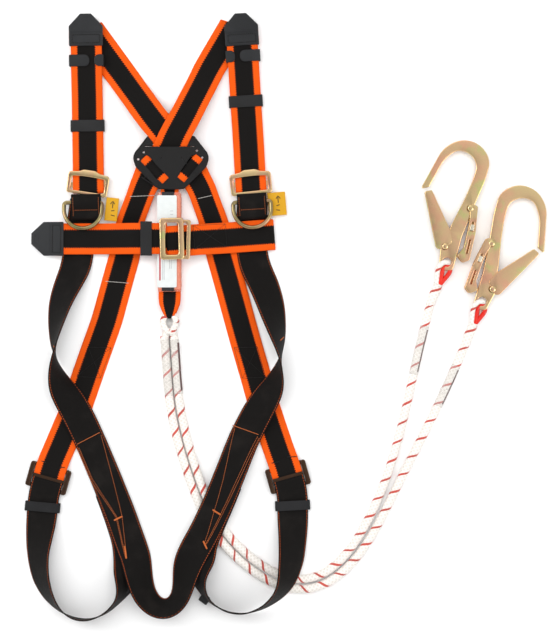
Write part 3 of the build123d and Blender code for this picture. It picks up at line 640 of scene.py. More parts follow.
class Thread:
    # dashes of sewing thread gathered into one piece
    def __init__(self):
        self.vertices, self.faces = [], []

    def dash(self, start, end, lift, radius):
        middle = start.lerp(end, 0.5) + lift * (radius * 1.1)
        points = [start - lift * 0.3, start.lerp(middle, 0.6), middle, end.lerp(middle, 0.6), end - lift * 0.3]
        vertices, faces = tube(points, radius, 6)
        base = len(self.vertices)
        self.vertices += vertices
        self.faces += [[base + one for one in face] for face in faces]

    def run(self, place, route, pitch, gap, radius):
        # place turns (across, along) into a point; route is corners in those numbers
        for first, second in zip(route[:-1], route[1:]):
            count = max(1, round(math.dist(first, second) / pitch))
            for index in range(count):
                near = (index + gap / 2 / pitch) / count
                far = (index + 1 - gap / 2 / pitch) / count
                a, b = ([one + (two - one) * share for one, two in zip(first, second)] for share in (near, far))
                side = place(a[0] + 0.5, a[1]) - place(a[0] - 0.5, a[1])
                along = place(a[0], a[1] + 0.5) - place(a[0], a[1] - 0.5)
                lift = side.cross(along).normalized()
                self.dash(place(*a), place(*b), -lift if lift.z < 0 else lift, radius)

    def build(self, name, finish):
        return settle(meshPiece(name, self.vertices, self.faces, finish))


# the two ropes of the lanyard, from the eyes at the absorber to the hooks
rope = {
    "diameter": 12.5, "height": 6.35, "pitch": 0.029, "strand": 0.0062, "fibre": 0.0011,
    "pale": rgb(238, 233, 227), "paleDark": rgb(222, 216, 208), "soil": rgb(206, 196, 186),
    "red": rgb(190, 54, 36), "dark": rgb(70, 52, 48),
}


def ropeFinish():
    cover = Finish("braidedRope", Sheen_Weight=0.3, Specular_IOR_Level=0.35)
    u, v = cover.across()
    # u runs once round the rope, v along it; two families of strands cross
    turn = u * (1 / (math.pi * rope["diameter"] * mm))
    left = ((v * (1 / rope["strand"])) + (turn * 5)).wave(1)
    right = ((v * (1 / rope["strand"])) - (turn * 5)).wave(1)
    strand = left.atLeast(right)
    fibre = ((v * (1 / rope["fibre"])) + (turn * 40)).sin() * 0.5 + 0.5
    soil = cover.grain(46, 4)
    colour = cover.mix(strand.ramp(0.5, 0.8), rope["paleDark"], rope["pale"])
    colour = cover.mix(soil.ramp(0.5, 0.85) * 0.2, colour, rope["soil"])
    spiral = ((v * (1 / rope["pitch"])) + turn).fract()
    ragged = left * 0.04
    mark = (spiral > 0.05) * (spiral < ragged + 0.165)
    core = (spiral > 0.09) * (spiral < 0.115) * (left > 0.4)
    colour = cover.mix(mark * 0.95, colour, rope["red"])
    colour = cover.mix(core * 0.7, colour, rope["dark"])
    cover.put("Base Color", colour)
    cover.put("Roughness", 0.85 - strand * 0.2)
    cover.bump(strand * 0.8 + fibre * 0.2, 0.00012, 0.5)
    return cover.material


braidedRope = ropeFinish()


def filmFinish(name, tint, alpha, rough):
    film = Finish(name, Base_Color=tint, IOR=1.45, Specular_IOR_Level=0.7)
    crease = film.grain(70, 4)
    film.put("Roughness", crease * 0.2 + rough)
    film.put("Alpha", crease.ramp(0.35, 0.75) * 0.16 + alpha)
    film.bump(crease, 0.0011, 0.8)
    return film.material


clearFilm = filmFinish("clearFilm", rgb(214, 212, 208), 0.24, 0.1)
pinkFilm = filmFinish("pinkFilm", rgb(238, 150, 124), 0.36, 0.1)
# painted shade: a dark strip that lies along one side of the rope under each clear film
sleeveShadeStrip = threadFinish("sleeveShadeStrip", rgb(58, 48, 48), rgb(112, 84, 82))

ropeRoutes = {
    "Inner": {
        "node": "rope_inner", "splice": "rope_splice_inner", "eye": (407, 81), "length": 0.898,
        "route": [
            (9, -26.6), (11, -50), (13, -84), (17, -124), (25, -165), (36, -205), (51, -249), (69, -290),
            (93, -324), (127, -355), (163, -376), (196, -383), (229, -374), (262, -345), (291, -299),
            (316, -243), (334, -187), (349, -127), (362, -66), (373, -20), (383, 20),
        ],
        "sleeves": [(0.004, 0.085, -0.8, 0.55), (0.79, 0.865, 0.62, 0.55)],
    },
    "Outer": {
        "node": "rope_outer", "splice": "rope_splice_outer", "eye": (458, 24), "length": 0.901,
        "route": [
            (-5, -26.6), (-3, -50), (-0.5, -85), (3, -127), (11.5, -169), (23, -210), (38.5, -255),
            (57.5, -298), (84, -335), (120, -368), (159, -390.5), (197, -398), (236, -387.5), (273, -355),
            (301, -313), (324, -268), (347, -221), (373, -171), (398, -120), (418, -77), (434, -39),
        ],
        "sleeves": [(0.004, 0.088, 0.2, 0.1), (0.8, 0.868, 0.62, 0.55)],
    },
}


def ropeLine(name, route):
    # the smooth line of a rope, read back from a NURBS spline through its route
    data = bpy.data.curves.new(name + "Line", "CURVE")
    data.dimensions = "3D"
    spline = data.splines.new("NURBS")
    spline.points.add(len(route) - 1)
    for point, (x, y) in zip(spline.points, route):
        point.co = (x * mm, y * mm, rope["height"] * mm, 1)
    spline.order_u = 3
    spline.use_endpoint_u = True
    spline.resolution_u = 10
    holder = bpy.data.objects.new(name + "Line", data)
    mesh = bpy.data.meshes.new_from_object(holder)
    line = [vertex.co / mm for vertex in mesh.vertices]
    bpy.data.objects.remove(holder)
    bpy.data.meshes.remove(mesh)
    return line


def ropePiece(name, points, radius, *nodes, sides=20, bulge=None):
    vertices, faces = tube(points, bulge or radius, sides)
    around = math.tau * radius * mm
    sheet, run = [], 0.0
    for index, point in enumerate(points):
        run += (point - points[index - 1]).length if index else 0
        sheet += [(around * step / sides, run * mm) for step in range(sides)]
    made = meshPiece(name, vertices, faces, braidedRope, sheet)
    # the seam where the rope's way round starts again
    layer = made.data.uv_layers["strap"].data
    for face in made.data.polygons:
        spots = [layer[loop].uv for loop in face.loop_indices]
        if max(one[0] for one in spots) - min(one[0] for one in spots) > around / 2:
            for one in spots:
                if one[0] < around / 2:
                    one[0] += around
    return settle(made, "harness", "rope", *nodes)


def stretch(line, low, high):
    # the part of a line between two lengths from its start, in millimetres
    run, found = 0.0, []
    for before, after in zip(line[:-1], line[1:]):
        if low <= run <= high:
            found.append(before)
        run += (after - before).length
    return found


def evenly(line, step):
    found, run = [line[0]], 0.0
    for before, after in zip(line[:-1], line[1:]):
        span = (after - before).length
        while run + span >= step:
            share = (step - run) / span
            before = before.lerp(after, share)
            found.append(before)
            span = (after - before).length
            run = 0.0
        run += span
    if (line[-1] - found[-1]).length > 0.3 * step:
        found.append(line[-1])
    return found


# the eye round the thimble at each hook: places are along the pull, across it and up
eyeLook = {
    "rope": 3.6, "thimble": 3.3,
    "ropeLine": [
        (40, 1, 8.5), (31, -3, 9.5), (23, -6.4, 11.5), (15, -8.6, 14), (8, -8.4, 16), (3, -5.4, 16.2),
        (0.4, -0.8, 14.2), (0.4, 3, 10), (3, 5, 6), (9, 5.4, 3.8), (18, 4, 3.7), (28, 2, 4), (38, 1, 5.5),
    ],
    "thimbleLine": [
        (35, 2.4, 10), (27, 4.6, 10.5), (19, 7.6, 10.6), (12, 9.4, 10.4), (6.5, 7.6, 10.2), (4.6, 3.2, 10),
        (7, -1.6, 11), (12, -2.4, 11.6), (19, -0.8, 11.4), (27, 1, 11),
    ],
}


def rounded(points, rounds=2, closed=False):
    # corners of a line cut twice over
    for _ in range(rounds):
        cut = [] if closed else [points[0]]
        for here, after in zip(points, points[1:] + (points[:1] if closed else [])):
            cut += [here.lerp(after, 0.25), here.lerp(after, 0.75)]
        points = cut if closed else cut + [points[-1]]
    return points


def coneRadius(index, _turn):
    # swells where the splice is served, then narrows into the eye
    return (6.3, 6.3, 6.9, 7.3, 6.6)[min(index, 4)]


for name, look in ropeRoutes.items():
    line = evenly(ropeLine("rope" + name, look["route"]), 2.5)
    radius = rope["diameter"] / 2
    made = ropePiece("rope" + name, line, radius, look["node"])
    eye, end = Vector((*look["eye"], 0)), Vector((*look["route"][-1], 0))
    pull = (end - eye).normalized()
    aside = Vector((-pull.y, pull.x, 0))
    # splice cone between the rope and its eye
    cone = [end + pull * 3 + Vector((0, 0, rope["height"]))]
    for share in (0, 0.3, 0.6, 1):
        here = end.lerp(eye + pull * 34, share)
        cone.append(here + Vector((0, 0, rope["height"] + (9 - rope["height"]) * share)))
    company = [ropePiece("ropeSplice" + name, cone, radius, look["splice"], bulge=coneRadius)]
    ropeEye, thimble = (
        [eye + pull * along + aside * across + Vector((0, 0, up)) for along, across, up in eyeLook[key]]
        for key in ("ropeLine", "thimbleLine")
    )
    company.append(ropePiece("ropeEye" + name, rounded(ropeEye), eyeLook["rope"], sides=16))
    thimble = rodPiece(
        "thimble" + name, rounded(thimble, closed=True), eyeLook["thimble"], 14, redPlastic, closed=True
    )
    company.append(settle(thimble, "harness", "red_plastic", "thimble_" + name.lower()))
    # clear film over a strip of painted shade along one side of the rope
    for index, (low, high, *beside) in enumerate(look["sleeves"], 1):
        part = stretch(line, low / mm, high / mm)
        company.append(settle(rodPiece(f"ropeFilm{name}{index}", part, radius + 0.35, 20, clearFilm)))
        side = (part[-1] - part[0]).normalized().cross(Vector((0, 0, 1)))
        shift = Vector((0, 0, radius)) * beside[1] + side * (radius * beside[0])
        shadeLine = [one + shift for one in part[2:-2]]
        company.append(settle(rodPiece(f"ropeSleeveShade{name}{index}", shadeLine, 2.0, 8, sleeveShadeStrip, 0.7)))
    exitPoint = (look["route"][0][0] * mm, look["route"][0][1] * mm, rope["height"] * mm)
    rope["diameter"] * mm
    [one * mm for one in line]

# lower eyes, stacked on the tip of the webbing loop, each with a throat down to its rope
lowerEyes = {
    "Inner": {"drop": 6.0, "middle": 13.1, "nodes": ["rope_lower_eyes"]},
    "Outer": {"drop": -6.0, "middle": 6.1, "nodes": []},
}
for name, look in lowerEyes.items():
    drop, middle = look["drop"], look["middle"]
    loop = []
    for step in range(28):
        turn = math.tau * step / 28
        narrow = 1 - 0.32 * max(0, -math.sin(turn))
        loop.append(Vector((3 + 9.6 * math.cos(turn) * narrow, -7.5 + 13.2 * math.sin(turn), middle)))
    ropePiece("lowerEye" + name, loop + loop[:1], 4.6, *look["nodes"], sides=16)
    throat = [
        Vector((3, -17, middle)), Vector((3 + drop * 0.5, -21, middle * 0.8 + 1.3)),
        Vector((3 + drop * 0.95, -24, 7.2)), Vector((3 + drop * 1.05, -29, rope["height"])),
    ]
    ropePiece("lowerThroat" + name, throat, 5.6, sides=16)
print("ropes laid")


# the two straps that cross on the back and run down to the opposite leg
webGap = 0.4
layer = webbing["thick"] + webGap
plateUnder, plateThick = 16.5, 4.0
lowerPass = plateUnder - 2 * layer - 0.2
upperPass = plateUnder - layer
lipLift = plateUnder + plateThick + webGap
diveTop = 256.2
diveRun = (lipLift - lowerPass) / math.tan(math.radians(60))
layerShift = layer * math.tan(math.radians(30))
backStraps = {
    "Left": {
        "node": "back_strap_left", "seed": 1,
        "stations": [
            (-119.5, 425, 0.4, 17, 0), (-68, 354, 0.4, 0, 0), (-25, 295, lipLift - 1.2, 0, 0),
            (0, 262, lipLift, 0, 0), (2, diveTop, lipLift, 0, 0),
            (4, diveTop - diveRun, lowerPass, 0, 0), (30, 220, lowerPass, 0, 0),
            (49, 188, lowerPass, 0, 0, 0.9), (67, 140, 0.4, 0, 0, 0.94), (79, 91, 0.4, 0, 0),
            (105, -3, 0.4, 0, 0), (139, -124, 0.4, 4, 0), (163, -196, 0.4, 14, 0),
            (170, -214, 8.2, 15.8, 0), (174.5, -229.5, 8.2, 15.8, 0),
        ],
    },
    "Right": {
        "node": "back_strap_right", "seed": 2,
        "stations": [
            (99, 429, 0.4, -18, 0), (61, 364, 0.4, 0, 0), (28, 295, lipLift + layer, 0, 0),
            (9, 260, lipLift + layer, 0, 0), (7, diveTop - layerShift, lipLift + layer, 0, 0),
            (4, diveTop - diveRun - layerShift, upperPass, 0, 0), (-20, 218, upperPass, 0, 0),
            (-36, 188, lowerPass, 0, 0, 0.86), (-57, 136, 0.4, 0, 0, 0.88), (-63, 91, 0.4, 0, 0),
            (-89, -3, 0.4, 0, 0), (-136, -137, 0.4, -4, 0), (-163, -200, 0.4, -14, 0),
            (-169, -216, 8.2, -15.8, 0), (-173.3, -231.5, 8.2, -15.8, 0),
        ],
    },
}
straps = {}
for side, look in backStraps.items():
    strap = Strap("backStrap" + side, look["stations"], 7, look["seed"], 0.4)
    straps["back" + side] = strap.stripe(look["node"])
print("back straps laid")


# shoulder straps: two layers folded round the floating bar, up to the end cap
shoulders = {
    "Left": {"base": (-115.6, 194, 0.9), "keeper": 86, "clip": 181, "seed": 3, "webShift": -3.5, "ringShift": -8},
    "Right": {"base": (121.3, 195, 3.5), "keeper": 121, "clip": 187, "seed": 4, "webShift": 0, "ringShift": 0},
}
shoulderLine = [
    (226, 9.4), (205, 9.2), (199, 7.2), (160, 7.0), (135, 5.4), (28, 5.4), (19, 6.0), (7, 8.6),
    (-8.8, 8.8), (-12.4, 7.8), (-13.4, 5.6), (-12.2, 3.4), (-7.8, 2.6), (60, 2.6), (135, 2.6), (160, 4.4), (226, 4.4),
]
ringWebLine = [
    (-24, 7.0), (-17.8, 7.2), (-15.2, 9.0), (-14.4, 11.5), (-15.8, 13.6), (-18.5, 14.2), (-21, 14.9),
    (-24, 15.9), (-28, 15.9), (-32, 14.4), (-38, 11.4), (-43, 11.6), (-48, 11.2), (-51, 9.4),
    (-51.4, 7.8), (-48, 6.6), (-28, 6.5),
]


def lineStations(base, line, heading):
    # stations from places along a piece's own axis and their lifts
    return [(*turned(base, *spot)[:2], lift, heading, 0) for spot, lift in line]


for side, look in shoulders.items():
    base = look["base"]
    stations = lineStations(base, [((0, y), lift) for y, lift in shoulderLine], base[2])
    strap = Strap("shoulderStrap" + side, stations, 3, look["seed"], 0.35, step=2.5)
    strap.stripe("shoulder_strap_" + side.lower())
    stations = lineStations(base, [((look["webShift"], y), lift) for y, lift in ringWebLine], base[2])
    web = Strap("ringWeb" + side, stations, 2, 5, 0.1, width=43, thick=1.9, step=1.5)
    web.build(plainWebbing, "black_webbing", "ring_web_" + side.lower())
    straps["web" + side] = web
print("shoulder straps laid")


# chest strap: each half wraps its slider, the free end runs back to the cap
chest = {"y": 114.8, "arch": 21.4, "flat": 7.6, "rightTurn": 4.2}
archLift, flatLift = chest["arch"], chest["flat"]
chestLeftLine = [
    (-152, 1.6), (-160, 1.6), (-164.6, 3.2), (-165, 5.4), (-162, 7.6), (-150, 7.6), (-92, flatLift),
    (-50, archLift), (-3, archLift),
]
chestFreeLine = [
    (-178, 12.0), (-152, 11.8), (-146, 10.0), (-92, flatLift + layer), (-50, archLift + layer),
    (-2, archLift + layer), (0, archLift + layer - 0.3),
]
chestRightLine = [
    (145, 1.6), (152, 1.6), (156.6, 3.2), (157, 5.4), (154, 7.6), (140, 7.6), (84, flatLift),
    (46, archLift), (28, archLift), (21, archLift + 1), (15, archLift + 3.6), (-1, archLift + 3.8),
]
for name, line, turn, seed, node in (
    ("Left", chestLeftLine, 0, 14, "chest_strap_left"),
    ("Free", chestFreeLine, 0, 15, "chest_free_end"),
    ("Right", chestRightLine, chest["rightTurn"], 16, "chest_strap_right"),
):
    base = (0, chest["y"] - (4.8 if turn else 0), turn)
    stations = lineStations(base, [((x, 0), lift) for x, lift in line], turn - 90)
    straps["chest" + name] = Strap("chestStrap" + name, stations, 3, seed, 0.3, step=2.5).stripe(node)
print("chest strap laid")


# black strap from one side under the seat to the other: it twists half a turn at each side
overBack = layer + webGap + 1
seatLine = [
    (-120, 174, 1, 0, 0), (-124, 146, 1, 0, 0), (-131, 96, 1, 0, 0), (-133, 80, 1, 0, 0),
    (-137, 66, 1, 0, 8), (-145, 48, 1, 0, 18), (-156, 20, 1, 0, 35, 1, 1.5), (-163, -15, 1, 2, 58, 1, 3),
    (-166, -45, 1, 4, 78, 1, 3), (-163, -72, overBack, 6, 104, 1, 3), (-154, -97, overBack, 9, 132, 1, 2),
    (-142, -120, overBack, 13, 156, 1, 1), (-127, -150, overBack, 18, 174), (-112, -183, overBack, 22, 180),
    (-90, -234, overBack, 22, 180), (-70, -285, overBack, 22, 180), (-57, -322, overBack, 24, 176),
    (-45, -352, 1.5, 18, 160, 1, -1), (-41, -378, 0.4, 10, 144, 1, -2), (-34, -402, 0.4, 22, 134, 1, -3),
    (-20, -419, 0.4, 48, 124, 1, -3), (-3, -425, 0.4, 84, 120, 1, -3), (11, -418, 0.4, 124, 124, 1, -3),
    (20, -402, 0.4, 152, 130, 1, -3), (24, -382, 3, 165, 140, 1, -2), (28, -362, 9, 162, 158, 1, -1),
    (38, -340, 17.4, 156, 174), (53, -314, 17.4, 156, 180), (74, -269, 17.4, 158, 180),
    (92, -225, 17.4, 158, 180), (112, -175, 5.8, 158, 180), (128, -143, overBack, 160, 172),
    (145, -112, overBack, 164, 150, 1, -1), (155, -95, overBack, 168, 130, 1, -2),
    (162, -72, overBack, 172, 104, 1, -3),
    (164, -48, 1, 176, 78, 1, -3), (159, -20, 1, 178, 54, 1, -3), (150, 20, 1, 180, 24, 1, -1.5),
    (140, 48, 1, 180, 12), (131, 66, 1, 180, 6), (126, 80, 1, 180, 0), (122.5, 96, 1, 180, 0),
    (122.5, 146, 1, 180, 0), (124, 174, 1, 180, 0),
]
seat = Strap("seatStrap", seatLine, 14, 12, 0.6)
seat.build(stitchedWebbing, "striped_webbing", "seat_strap", "side_strap_left", "side_strap_right")

legLoops = {
    "Left": {
        "node": "leg_loop_left", "seed": 14,
        "stations": [
            (-174.6, -236.3, 8.2, -15.8, 0), (-179.2, -252.7, 8.2, -15.8, 0), (-182, -266, 2.2, -10, 0),
            (-183.5, -286, 2.2, -6, 2), (-187, -326, 0.4, 2, 28), (-188, -347, 0.4, 8, 40),
            (-184, -379, 0.4, 16, 50), (-173, -404, 0.4, 30, 62), (-156, -425, 0.4, 52, 76),
            (-135, -437, 0.4, 72, 84), (-112, -439, 0.4, 96, 84), (-87, -428, 0.4, 118, 83),
            (-68, -409, 0.4, 138, 80), (-61, -394, 0.4, 155, 62), (-57, -377, 0.4, 178, 40),
            (-56, -355, 0.4, 194, 16), (-59, -328, 0.4, 201, 0), (-70, -292, 0.4, 203, 0), (-85, -252, 0.4, 203, 0),
        ],
    },
    "Right": {
        "node": "leg_loop_right", "seed": 15,
        "stations": [
            (176.4, -234.3, 8.2, 195.8, 0), (180.8, -250.3, 8.2, 195.8, 0), (182, -264, 2.2, 190, 0),
            (182.5, -284, 2.2, 184, 2), (183, -312, 2.2, 180, 22), (181, -352, 8, 176, 36),
            (174, -383, 12.5, 166, 54), (162, -402, 12.5, 142, 68), (140, -419, 12.5, 116, 78),
            (112, -430, 2, 98, 82), (86, -427, 0.4, 76, 82), (62, -413, 0.4, 52, 80), (50, -397, 0.4, 34, 74),
            (44, -376, 3, 8, 56), (48, -352, 7, -12, 24), (50, -328, 13.6, -24, 0), (66, -290, 14, -24, 0),
            (87, -240, 14, -24, 0),
        ],
    },
}
for side, look in legLoops.items():
    strap = Strap("legLoop" + side, look["stations"], 10, look["seed"], 0.5)
    strap.build(stitchedWebbing, "striped_webbing", look["node"])
print("seat strap and leg loops laid")


# black plate on the back, with the webbing that shows through its two windows
plateLook = {
    "windows": {
        "Left": {"at": (-18.1, 215.2), "turn": -46, "long": 46},
        "Right": {"at": (33.2, 216.8), "turn": 51, "long": 43},
    },
    "bulge": [(-6.9, 15), (-6.2, 18.6), (-3.6, 21), (0, 21.8), (3.6, 21), (6.2, 18.6), (6.9, 15)],
    # the ends of the top slot that the straps leave free: middle and width
    "slots": {"Left": (-27.2, 12.4), "Right": (34.8, 10.4)},
    "slotY": 253.5, "slotTall": 9, "slotLow": 16.8, "slotHigh": 20.2,
    "ridges": [((-8, 233), (-33, 203)), ((20, 233), (44, 206)), ((-37, 204), (-16, 190))],
}
repaint("dorsal_plate", platePlastic)
for side, look in plateLook["windows"].items():
    # the webbing bulges a little through the window, its width along the window
    base = (*look["at"], look["turn"])
    share = look["long"] / webbing["width"]
    line = [((0, run), lift) for run, lift in plateLook["bulge"]]
    stations = [(*one, share) for one in lineStations(base, line, look["turn"])]
    Strap("plateWeb" + side, stations, 1, 20, 0.0, thick=1.8, step=1.0).stripe()
for name, (x, wide) in plateLook["slots"].items():
    size = (wide, plateLook["slotTall"], plateLook["slotLow"], plateLook["slotHigh"])
    settle(blockPiece("plateSlot" + name, x, plateLook["slotY"], *size, 0.5, platePlastic))
for index, (start, end) in enumerate(plateLook["ridges"], 1):
    start, end = Vector((*start, 20.3)), Vector((*end, 20.3))
    points = [start.lerp(end, share) for share in (0, 0.2, 0.5, 0.8, 1)]
    settle(rodPiece(f"plateRidge{index}", points, 0.8, 8, platePlastic, 0.6))
print("plate made")


# moulded end caps of the free ends
endCap = {"half": 24.6, "shoulder": 29, "length": 47, "tip": 7.9, "rootUp": 2.4, "noseUp": 2.8}
caps = {
    "shoulderCapLeft": {
        "base": (*turned(shoulders["Left"]["base"], 0, 202)[:2], 0.9), "mid": 10.2, "node": "shoulder_end_cap_left",
    },
    "shoulderCapRight": {
        "base": (*turned(shoulders["Right"]["base"], 0, 202)[:2], 3.5), "mid": 10.2, "node": "shoulder_end_cap_right",
    },
    "chestCap": {"base": (-151, 114.8, 90), "mid": 12.8, "node": "chest_end_cap"},
}
capSewing = [(-20, 4.2), (20, 4.2), (20, 16.2), (-20, 16.2), (-20, 4.2)]
for name, look in caps.items():
    half, mid, base = endCap["half"], look["mid"], look["base"]
    root = roundedOutline([(-half, 0, 1.5), (half, 0, 1.5), (half, 21, 1), (-half, 21, 1)])
    nose = roundedOutline([
        (-half, 20, 1), (half, 20, 1), (half, endCap["shoulder"], 2.5), (endCap["tip"], endCap["length"], 2.5),
        (-endCap["tip"], endCap["length"], 2.5), (-half, endCap["shoulder"], 2.5),
    ])

    def noseShape(x, y, z, mid=mid):
        taper = 1 - 0.36 * max(0, (y - 28) / 19)
        return x, y, mid + (z - mid) * taper

    def capTop(across, along, base=base, mid=mid):
        return turned(base, across, along, mid + endCap["rootUp"])

    # a plain raised frame near the tip
    rootUp, noseUp = endCap["rootUp"], endCap["noseUp"]
    mark = boxOutline(-6.5, 36.5, 6.5, 43, 1)
    inset = boxOutline(-5.4, 37.6, 5.4, 41.9, 0.6)
    parts = [
        platePiece("one", [root], mid - rootUp, mid + rootUp, 0.7, capPlastic, base),
        platePiece("two", [nose], mid - noseUp, mid + noseUp, 0.9, capPlastic, base, shape=noseShape),
        platePiece("three", [mark, inset], mid + 1.2, mid + 2.35, 0.3, capPlastic, base),
        platePiece("four", [inset], mid + 1.0, mid + 1.9, 0.2, keeperPlastic, base),
    ]
    for edge in (1.2, 19.0):
        rib = boxOutline(-half + 2, edge - 0.5, half - 2, edge + 0.5, 0.4)
        parts.append(platePiece("rib", [rib], mid + 2.0, mid + 2.75, 0.25, capPlastic, base))
    settle(joined(name, parts), "harness", "dark_plastic", look["node"])
    sewing = Thread()
    sewing.run(capTop, capSewing, 3.0, 1.1, 0.55)
    sewing.build(name + "Thread", darkThread)
print("end caps made")


# bands and clips that hold the free ends
def band(name, body, base, y, length, low, high, wall, half, finish):
    outer = boxOutline(-half - wall, low - wall, half + wall, high + wall, 1.6)
    inner = boxOutline(-half, low, half, high, 0.8)

    def stand(x, up, run):
        crown = 0.25 * (1 - (x / half) ** 2) if up > (low + high) / 2 else 0
        return x, y + run - length / 2, up + crown

    made = platePiece(name, [outer, inner], 0, length, 0.45, finish, base, shape=stand)
    settle(made, body, "elastic", body)


for side, look in shoulders.items():
    name, body = "shoulderBand" + side, "shoulder_keeper_" + side.lower()
    band(name, body, look["base"], look["keeper"], 17, 2.2, 7.9, 1.3, 23.5, keeperPlastic)
band("chestBand", "chest_keeper", (-30, chest["y"], -90), 0, 16.5, 21.0, 26.4, 1.3, 23.5, keeperPlastic)
band("legBandLeft", "leg_keeper_left", (-182.8, -276, -5), 0, 14, 1.3, 7.4, 1.2, 24.4, elasticBand)
band("legBandRight", "leg_keeper_right", (182.2, -274, 3), 0, 14, 1.3, 7.4, 1.2, 24.4, elasticBand)

clipLook = {"tall": 17, "outer": 25.2, "wide": 4.6, "narrow": 11.6, "low": 4.0, "high": 9.6, "wall": 1.5}
for side, mirror in (("Left", 1), ("Right", -1)):
    look = shoulders[side]
    base = (*turned(look["base"], 0, look["clip"])[:2], look["base"][2])
    tall, outer, low = clipLook["tall"] / 2, clipLook["outer"], clipLook["low"]
    top = (clipLook["high"] + 0.1, clipLook["high"] + 1.9)
    # two tabs over the webbing that leave a slanting gap, and a bar under it
    parts = []
    for left, right, bottom, high in (
        (-outer, clipLook["wide"], *top), (clipLook["narrow"], outer, *top),
        (-outer, outer, low - clipLook["wall"], low),
    ):
        # only the ends beside the gap are well rounded
        corners = ((left, -tall), (right, -tall), (right, tall), (left, tall))
        flipped = [(x * mirror, y, 1.5 if abs(x) == outer else 7.5) for x, y in corners]
        parts.append(platePiece("tab", [roundedOutline(flipped)], bottom, high, 0.6, capPlastic, base))
    for end in (-1, 1):
        middle = end * (outer - 0.8)
        wall = boxOutline(middle - 0.8, -tall + 0.5, middle + 0.8, tall - 0.5, 0.5)
        parts.append(platePiece("wall", [wall], low - 1, top[0] + 1, 0.4, capPlastic, base))
    body = "strap_clip_" + side.lower()
    settle(joined("strapClip" + side, parts), body, "dark_plastic", body)
print("bands and clips made")


# adjuster frames at the shoulders: a curved front bar over the webbing
frontRing = {"half": 27.5, "drop": 38, "bar": -26, "height": 12.2, "tilt": 8, "wire": 6}
shoulderFrame = {"tilt": {"Left": -9.5, "Right": 2.6}, "low": 9.3, "high": 12.7}
frameOuter = roundedOutline([
    (-30, -18, 4), (30, -18, 4), (30.5, 13, 5), (15, 15, 12), (8, 18.6, 9), (-8, 18.6, 9), (-15, 15, 12),
    (-30.5, 13, 5),
], 8)
frameInner = roundedOutline([
    (-24.4, -13, 3), (24.4, -13, 3), (24.6, 7, 4), (8, 8.2, 10), (-8, 8.2, 10), (-24.6, 7, 4),
], 8)


def frameArch(x, y, z):
    return x, y, z + 2.2 * max(0, 1 - ((y - 12) / 11) ** 2)


for side, look in shoulders.items():
    x, y = turned(look["base"], 0, 2.5)[:2]
    base = (x, y, look["base"][2] + shoulderFrame["tilt"][side])
    made = platePiece(
        "shoulderFrame" + side, [frameOuter, frameInner], shoulderFrame["low"], shoulderFrame["high"],
        1.5, zinc, base, shape=frameArch,
    )
    settle(made, "harness", "yellow_zinc", "shoulder_buckle_" + side.lower())
    repaint("shoulder_bar_" + side.lower(), zinc)
    # D-ring: a straight bar in the sling and a half circle below it, tilted up
    half, low = frontRing["half"], frontRing["half"] - frontRing["drop"]
    turns = [math.pi * step / 26 for step in range(27)]
    bow = [(half * math.cos(turn), low - half * math.sin(turn), 0) for turn in turns]
    points = []
    for x, y in roundedOutline([(-half, 0, 4), (half, 0, 4)] + bow, 5):
        rise = -y * math.sin(math.radians(frontRing["tilt"]))
        points.append(turned(look["base"], x + look["ringShift"], frontRing["bar"] + y, frontRing["height"] + rise))
    made = rodPiece("frontRing" + side, points, frontRing["wire"] / 2, 18, oliveGold, closed=True)
    settle(made, "front_ring_" + side.lower(), "gold_ring", "front_ring_" + side.lower())
repaint("dorsal_ring", oliveGold)
smoothByAngle(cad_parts["dorsal_ring"].data, 40)


# flat rectangular frames; outer and inner are half width, half height and corner radius
frameLooks = {
    "crossSlide": {"outer": (30, 21.6, 3), "inner": (24.5, 17, 2), "low": 3.6, "high": 7.2, "soft": 1.0},
    "chestFrame": {"outer": (17.7, 30.2, 5), "inner": (9.2, 23.2, 3.5), "low": 29.5, "high": 33.8, "soft": 1.9},
    "chestPlate": {"outer": (21, 28.6, 4), "inner": (15, 24, 3), "low": 26.2, "high": 29.2, "soft": 1.1},
    "legFrame": {"outer": (30.5, 18.5, 3.5), "inner": (23.5, 13, 2), "low": 3.8, "high": 7.8, "soft": 1.2},
}


def framePiece(name, kind, finish, base, arc=6):
    look = frameLooks[kind]
    outlines = []
    for half, tall, radius in (look["outer"], look["inner"]):
        outlines.append(boxOutline(-half, -tall, half, tall, radius, arc))
    return platePiece(name, outlines, look["low"], look["high"], look["soft"], finish, base)


# slides hidden under the ends of the chest strap
for side, base in (("Left", (-131, 114.5, 0)), ("Right", (122.5, 119, 4.2))):
    made = framePiece("crossSlide" + side, "crossSlide", oliveGold, base)
    settle(made, "harness", "gold_ring", "cross_slider_" + side.lower())

# chest buckle: a plate on one half slips through the frame on the other
made = framePiece("chestFrame", "chestFrame", zinc, (7.5, 114.3, 1.5), arc=8)
settle(made, "harness", "yellow_zinc", "chest_buckle_frame")
made = framePiece("chestPlate", "chestPlate", zinc, (13.4, 113.6, -1.5))
settle(made, "harness", "yellow_zinc", "chest_buckle_plate")

# leg adjusters: dark plated frames with raised ears
legEar = {"out": 27, "half": 3.4, "tall": 18, "low": 6.6, "high": 10.4}
for side, base in (("Left", (-174, -233.8, -15.8)), ("Right", (175.4, -232, 15.8))):
    parts = [framePiece("frame", "legFrame", bronze, base)]
    for middle in (-legEar["out"], legEar["out"]):
        ear = boxOutline(middle - legEar["half"], -legEar["tall"], middle + legEar["half"], legEar["tall"], 3)
        parts.append(platePiece("ear", [ear], legEar["low"], legEar["high"], 1.3, bronze, base))
    settle(joined("legFrame" + side, parts), "harness", "bronze", "leg_buckle_" + side.lower())
    repaint("leg_bar_" + side.lower(), bronze)
print("buckles and rings made")


